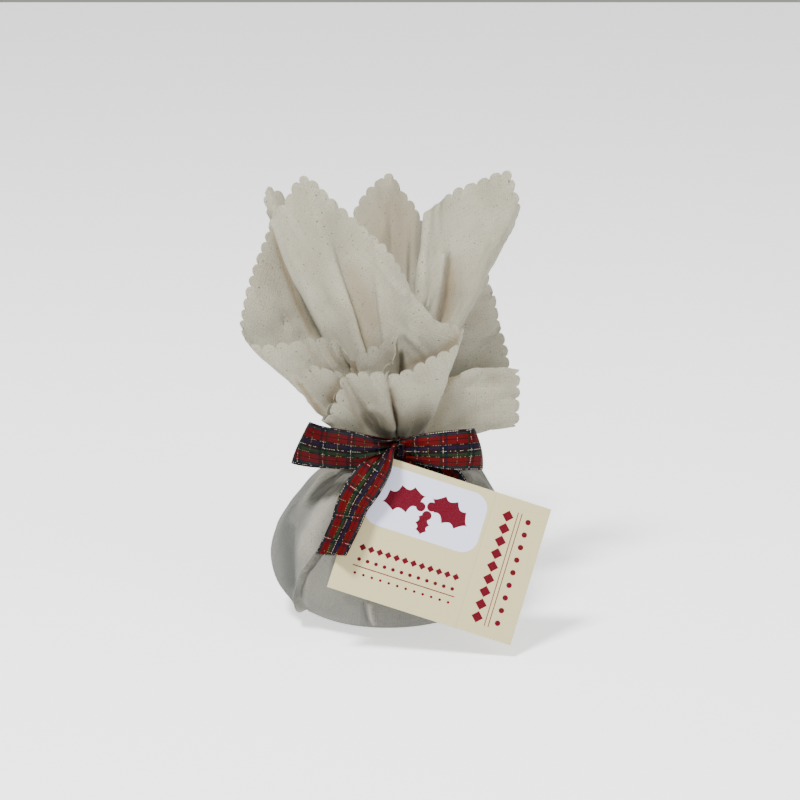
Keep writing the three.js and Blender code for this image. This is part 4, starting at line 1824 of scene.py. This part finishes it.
@dataclass
class GiftCard:
    """A scored card that leans on the front of the ball and hangs from the ribbon."""

    width: float = 108.0
    height: float = 81.0
    thickness: float = 0.5
    corner: tuple[float, float, float] = (-10.2, -39.9, 108.6)
    along: tuple[float, float, float] = (102.5, -6, -32.6)
    down: tuple[float, float, float] = (-22.8, -36, -68.5)
    hole: tuple[float, float, float] = (7.0, 7.0, 2.5)
    patch: float = 5.0
    grid: tuple[int, int] = (37, 28)
    score_width: float = 0.5
    groove: float = 0.14
    curl: float = 0.5
    gap: float = 0.35
    finish: CardFinish = field(default_factory=CardFinish)

    def cut_out(self) -> tuple[np.ndarray, list[tuple[int, ...]]]:
        """Divide the flat card with its hole into faces.

        Returns:
            The points, in millimetres right of and below the card's corner, and the faces.
        """
        hx, hy, radius = self.hole
        cuts = [hx - self.patch, hx - self.patch / 2, hx, hx + self.patch / 2, hx + self.patch]
        across, down = self.grid
        score = [SCORE - self.score_width, SCORE, SCORE + self.score_width]
        us = sorted({*np.linspace(0, self.width, across).round(3), *cuts, *score})
        vs = sorted({*np.linspace(0, self.height, down).round(3), *cuts})
        us = [u for u in us if u in cuts or not cuts[0] < u < cuts[-1]]
        vs = [v for v in vs if v in cuts or not cuts[0] < v < cuts[-1]]
        places = [(u, v) for v in vs for u in us]
        index = {place: i for i, place in enumerate(places)}
        faces = []
        for v, below in zip(vs, vs[1:]):
            for u, right in zip(us, us[1:]):
                if not (cuts[0] <= u < cuts[-1] and cuts[0] <= v < cuts[-1]):
                    faces.append((index[(u, v)], index[(u, below)], index[(right, below)], index[(right, v)]))
        square = [(u, cuts[-1]) for u in cuts[:-1]] + [(cuts[-1], v) for v in reversed(cuts[1:])]
        square += [(u, cuts[0]) for u in reversed(cuts[1:])] + [(cuts[0], v) for v in cuts[:-1]]
        ring = []
        for u, v in square:
            away = math.hypot(u - hx, v - hy)
            ring.append(len(places))
            places.append((hx + (u - hx) / away * radius, hy + (v - hy) / away * radius))
        for k in range(len(square)):
            n = (k + 1) % len(square)
            faces.append((index[square[k]], index[square[n]], ring[n], ring[k]))
        used = sorted({i for face in faces for i in face})
        rank = {old: new for new, old in enumerate(used)}
        return np.array([places[i] for i in used]), [tuple(rank[i] for i in face) for face in faces]

    def sheet(self) -> Sheet:
        """Make the card with its hole and its score line.

        Returns:
            The closed card.
        """
        flat, faces = self.cut_out()
        right = unit(np.array(self.along))
        front = unit(np.cross(self.down, right))
        up = np.cross(front, right)
        u, v = flat[:, 0], flat[:, 1]
        bend = self.curl * ((u / self.width * 2 - 1) ** 2 - 1) * np.sin(v / self.height * math.pi / 2)
        lift = bend - self.groove * (np.abs(u - SCORE) < self.score_width / 2) + self.gap
        points = np.array(self.corner) + np.outer(u, right) - np.outer(v, up) + np.outer(lift, front)
        return Sheet(points, faces, flat).thick(self.thickness)

    def build(self) -> list[bpy.types.Object]:
        """Make and dress the card.

        Returns:
            The card in a list.
        """
        card = self.sheet().piece("gift_card", self.finish.material())
        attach(card, "root")
        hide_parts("card")
        return [card]


# ---- The studio ----


@dataclass
class Studio:
    """The floor, the lights and the camera."""

    floor_size: float = 6.0
    lens: float = 124.0
    aim: tuple[float, float, float] = (0.00684, 0.00676, 0.1262)
    place: tuple[float, float, float] = (0.00684, -1.5387, 0.5403)
    world: float = 0.36
    lights: dict[str, tuple[tuple[float, float, float], float, float]] = field(
        default_factory=lambda: {
            "key_light": ((-0.65, -0.85, 2.05), 0.45, 98.0),
            "fill_light": ((1.2, -1.0, 1.3), 1.0, 16.0),
            "low_light": ((0.1, -1.5, 0.3), 0.9, 9.0),
        }
    )
    finish: FloorFinish = field(default_factory=FloorFinish)

    def floor(self) -> bpy.types.Object:
        """Make the floor.

        Returns:
            The floor.
        """
        half = self.floor_size / 2
        mesh = bpy.data.meshes.new("floor")
        corners = [(-half, -half, 0), (half, -half, 0), (half, half, 0), (-half, half, 0)]
        mesh.from_pydata(corners, [], [(0, 1, 2, 3)])
        mesh.materials.append(self.finish.material())
        floor = bpy.data.objects.new("floor", mesh)
        bpy.context.scene.collection.objects.link(floor)
        return floor

    def aimed(self, name: str, data: bpy.types.ID, place: Sequence[float]) -> bpy.types.Object:
        """Place a light or the camera so that it points at the pudding.

        Args:
            name: the object's name.
            data: the light or the camera.
            place: where it stands.

        Returns:
            The object.
        """
        obj = bpy.data.objects.new(name, data)
        obj.location = place
        obj.rotation_euler = (Vector(self.aim) - Vector(place)).to_track_quat("-Z", "Y").to_euler()
        bpy.context.scene.collection.objects.link(obj)
        return obj

    def build(self) -> None:
        """Make the whole studio."""
        self.floor()
        for name, (place, size, power) in self.lights.items():
            lamp = bpy.data.lights.new(name, "AREA")
            lamp.size = size
            lamp.energy = power
            self.aimed(name, lamp, place)
        world = bpy.data.worlds.new("studio")
        world.use_nodes = True
        background = world.node_tree.nodes["Background"]
        background.inputs["Color"].default_value = (1, 1, 1, 1)
        background.inputs["Strength"].default_value = self.world
        bpy.context.scene.world = world
        camera = bpy.data.cameras.new("camera")
        camera.lens = self.lens
        camera.sensor_width = 36
        bpy.context.scene.camera = self.aimed("camera", camera, self.place)


def main() -> None:
    """Build everything in the part's frame and note the sizes."""
    logging.basicConfig(level=logging.INFO, format="%(name)s: %(message)s")
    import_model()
    Studio().build()
    for assembly in (PuddingCloth(), RibbonBow(), GiftCard()):
        for piece in assembly.build():
            mesh = piece.data
            LOG.info("%s: %d points, %d faces", piece.name, len(mesh.vertices), len(mesh.polygons))
    bpy.context.view_layer.update()


if __name__ == "__main__":
    main()
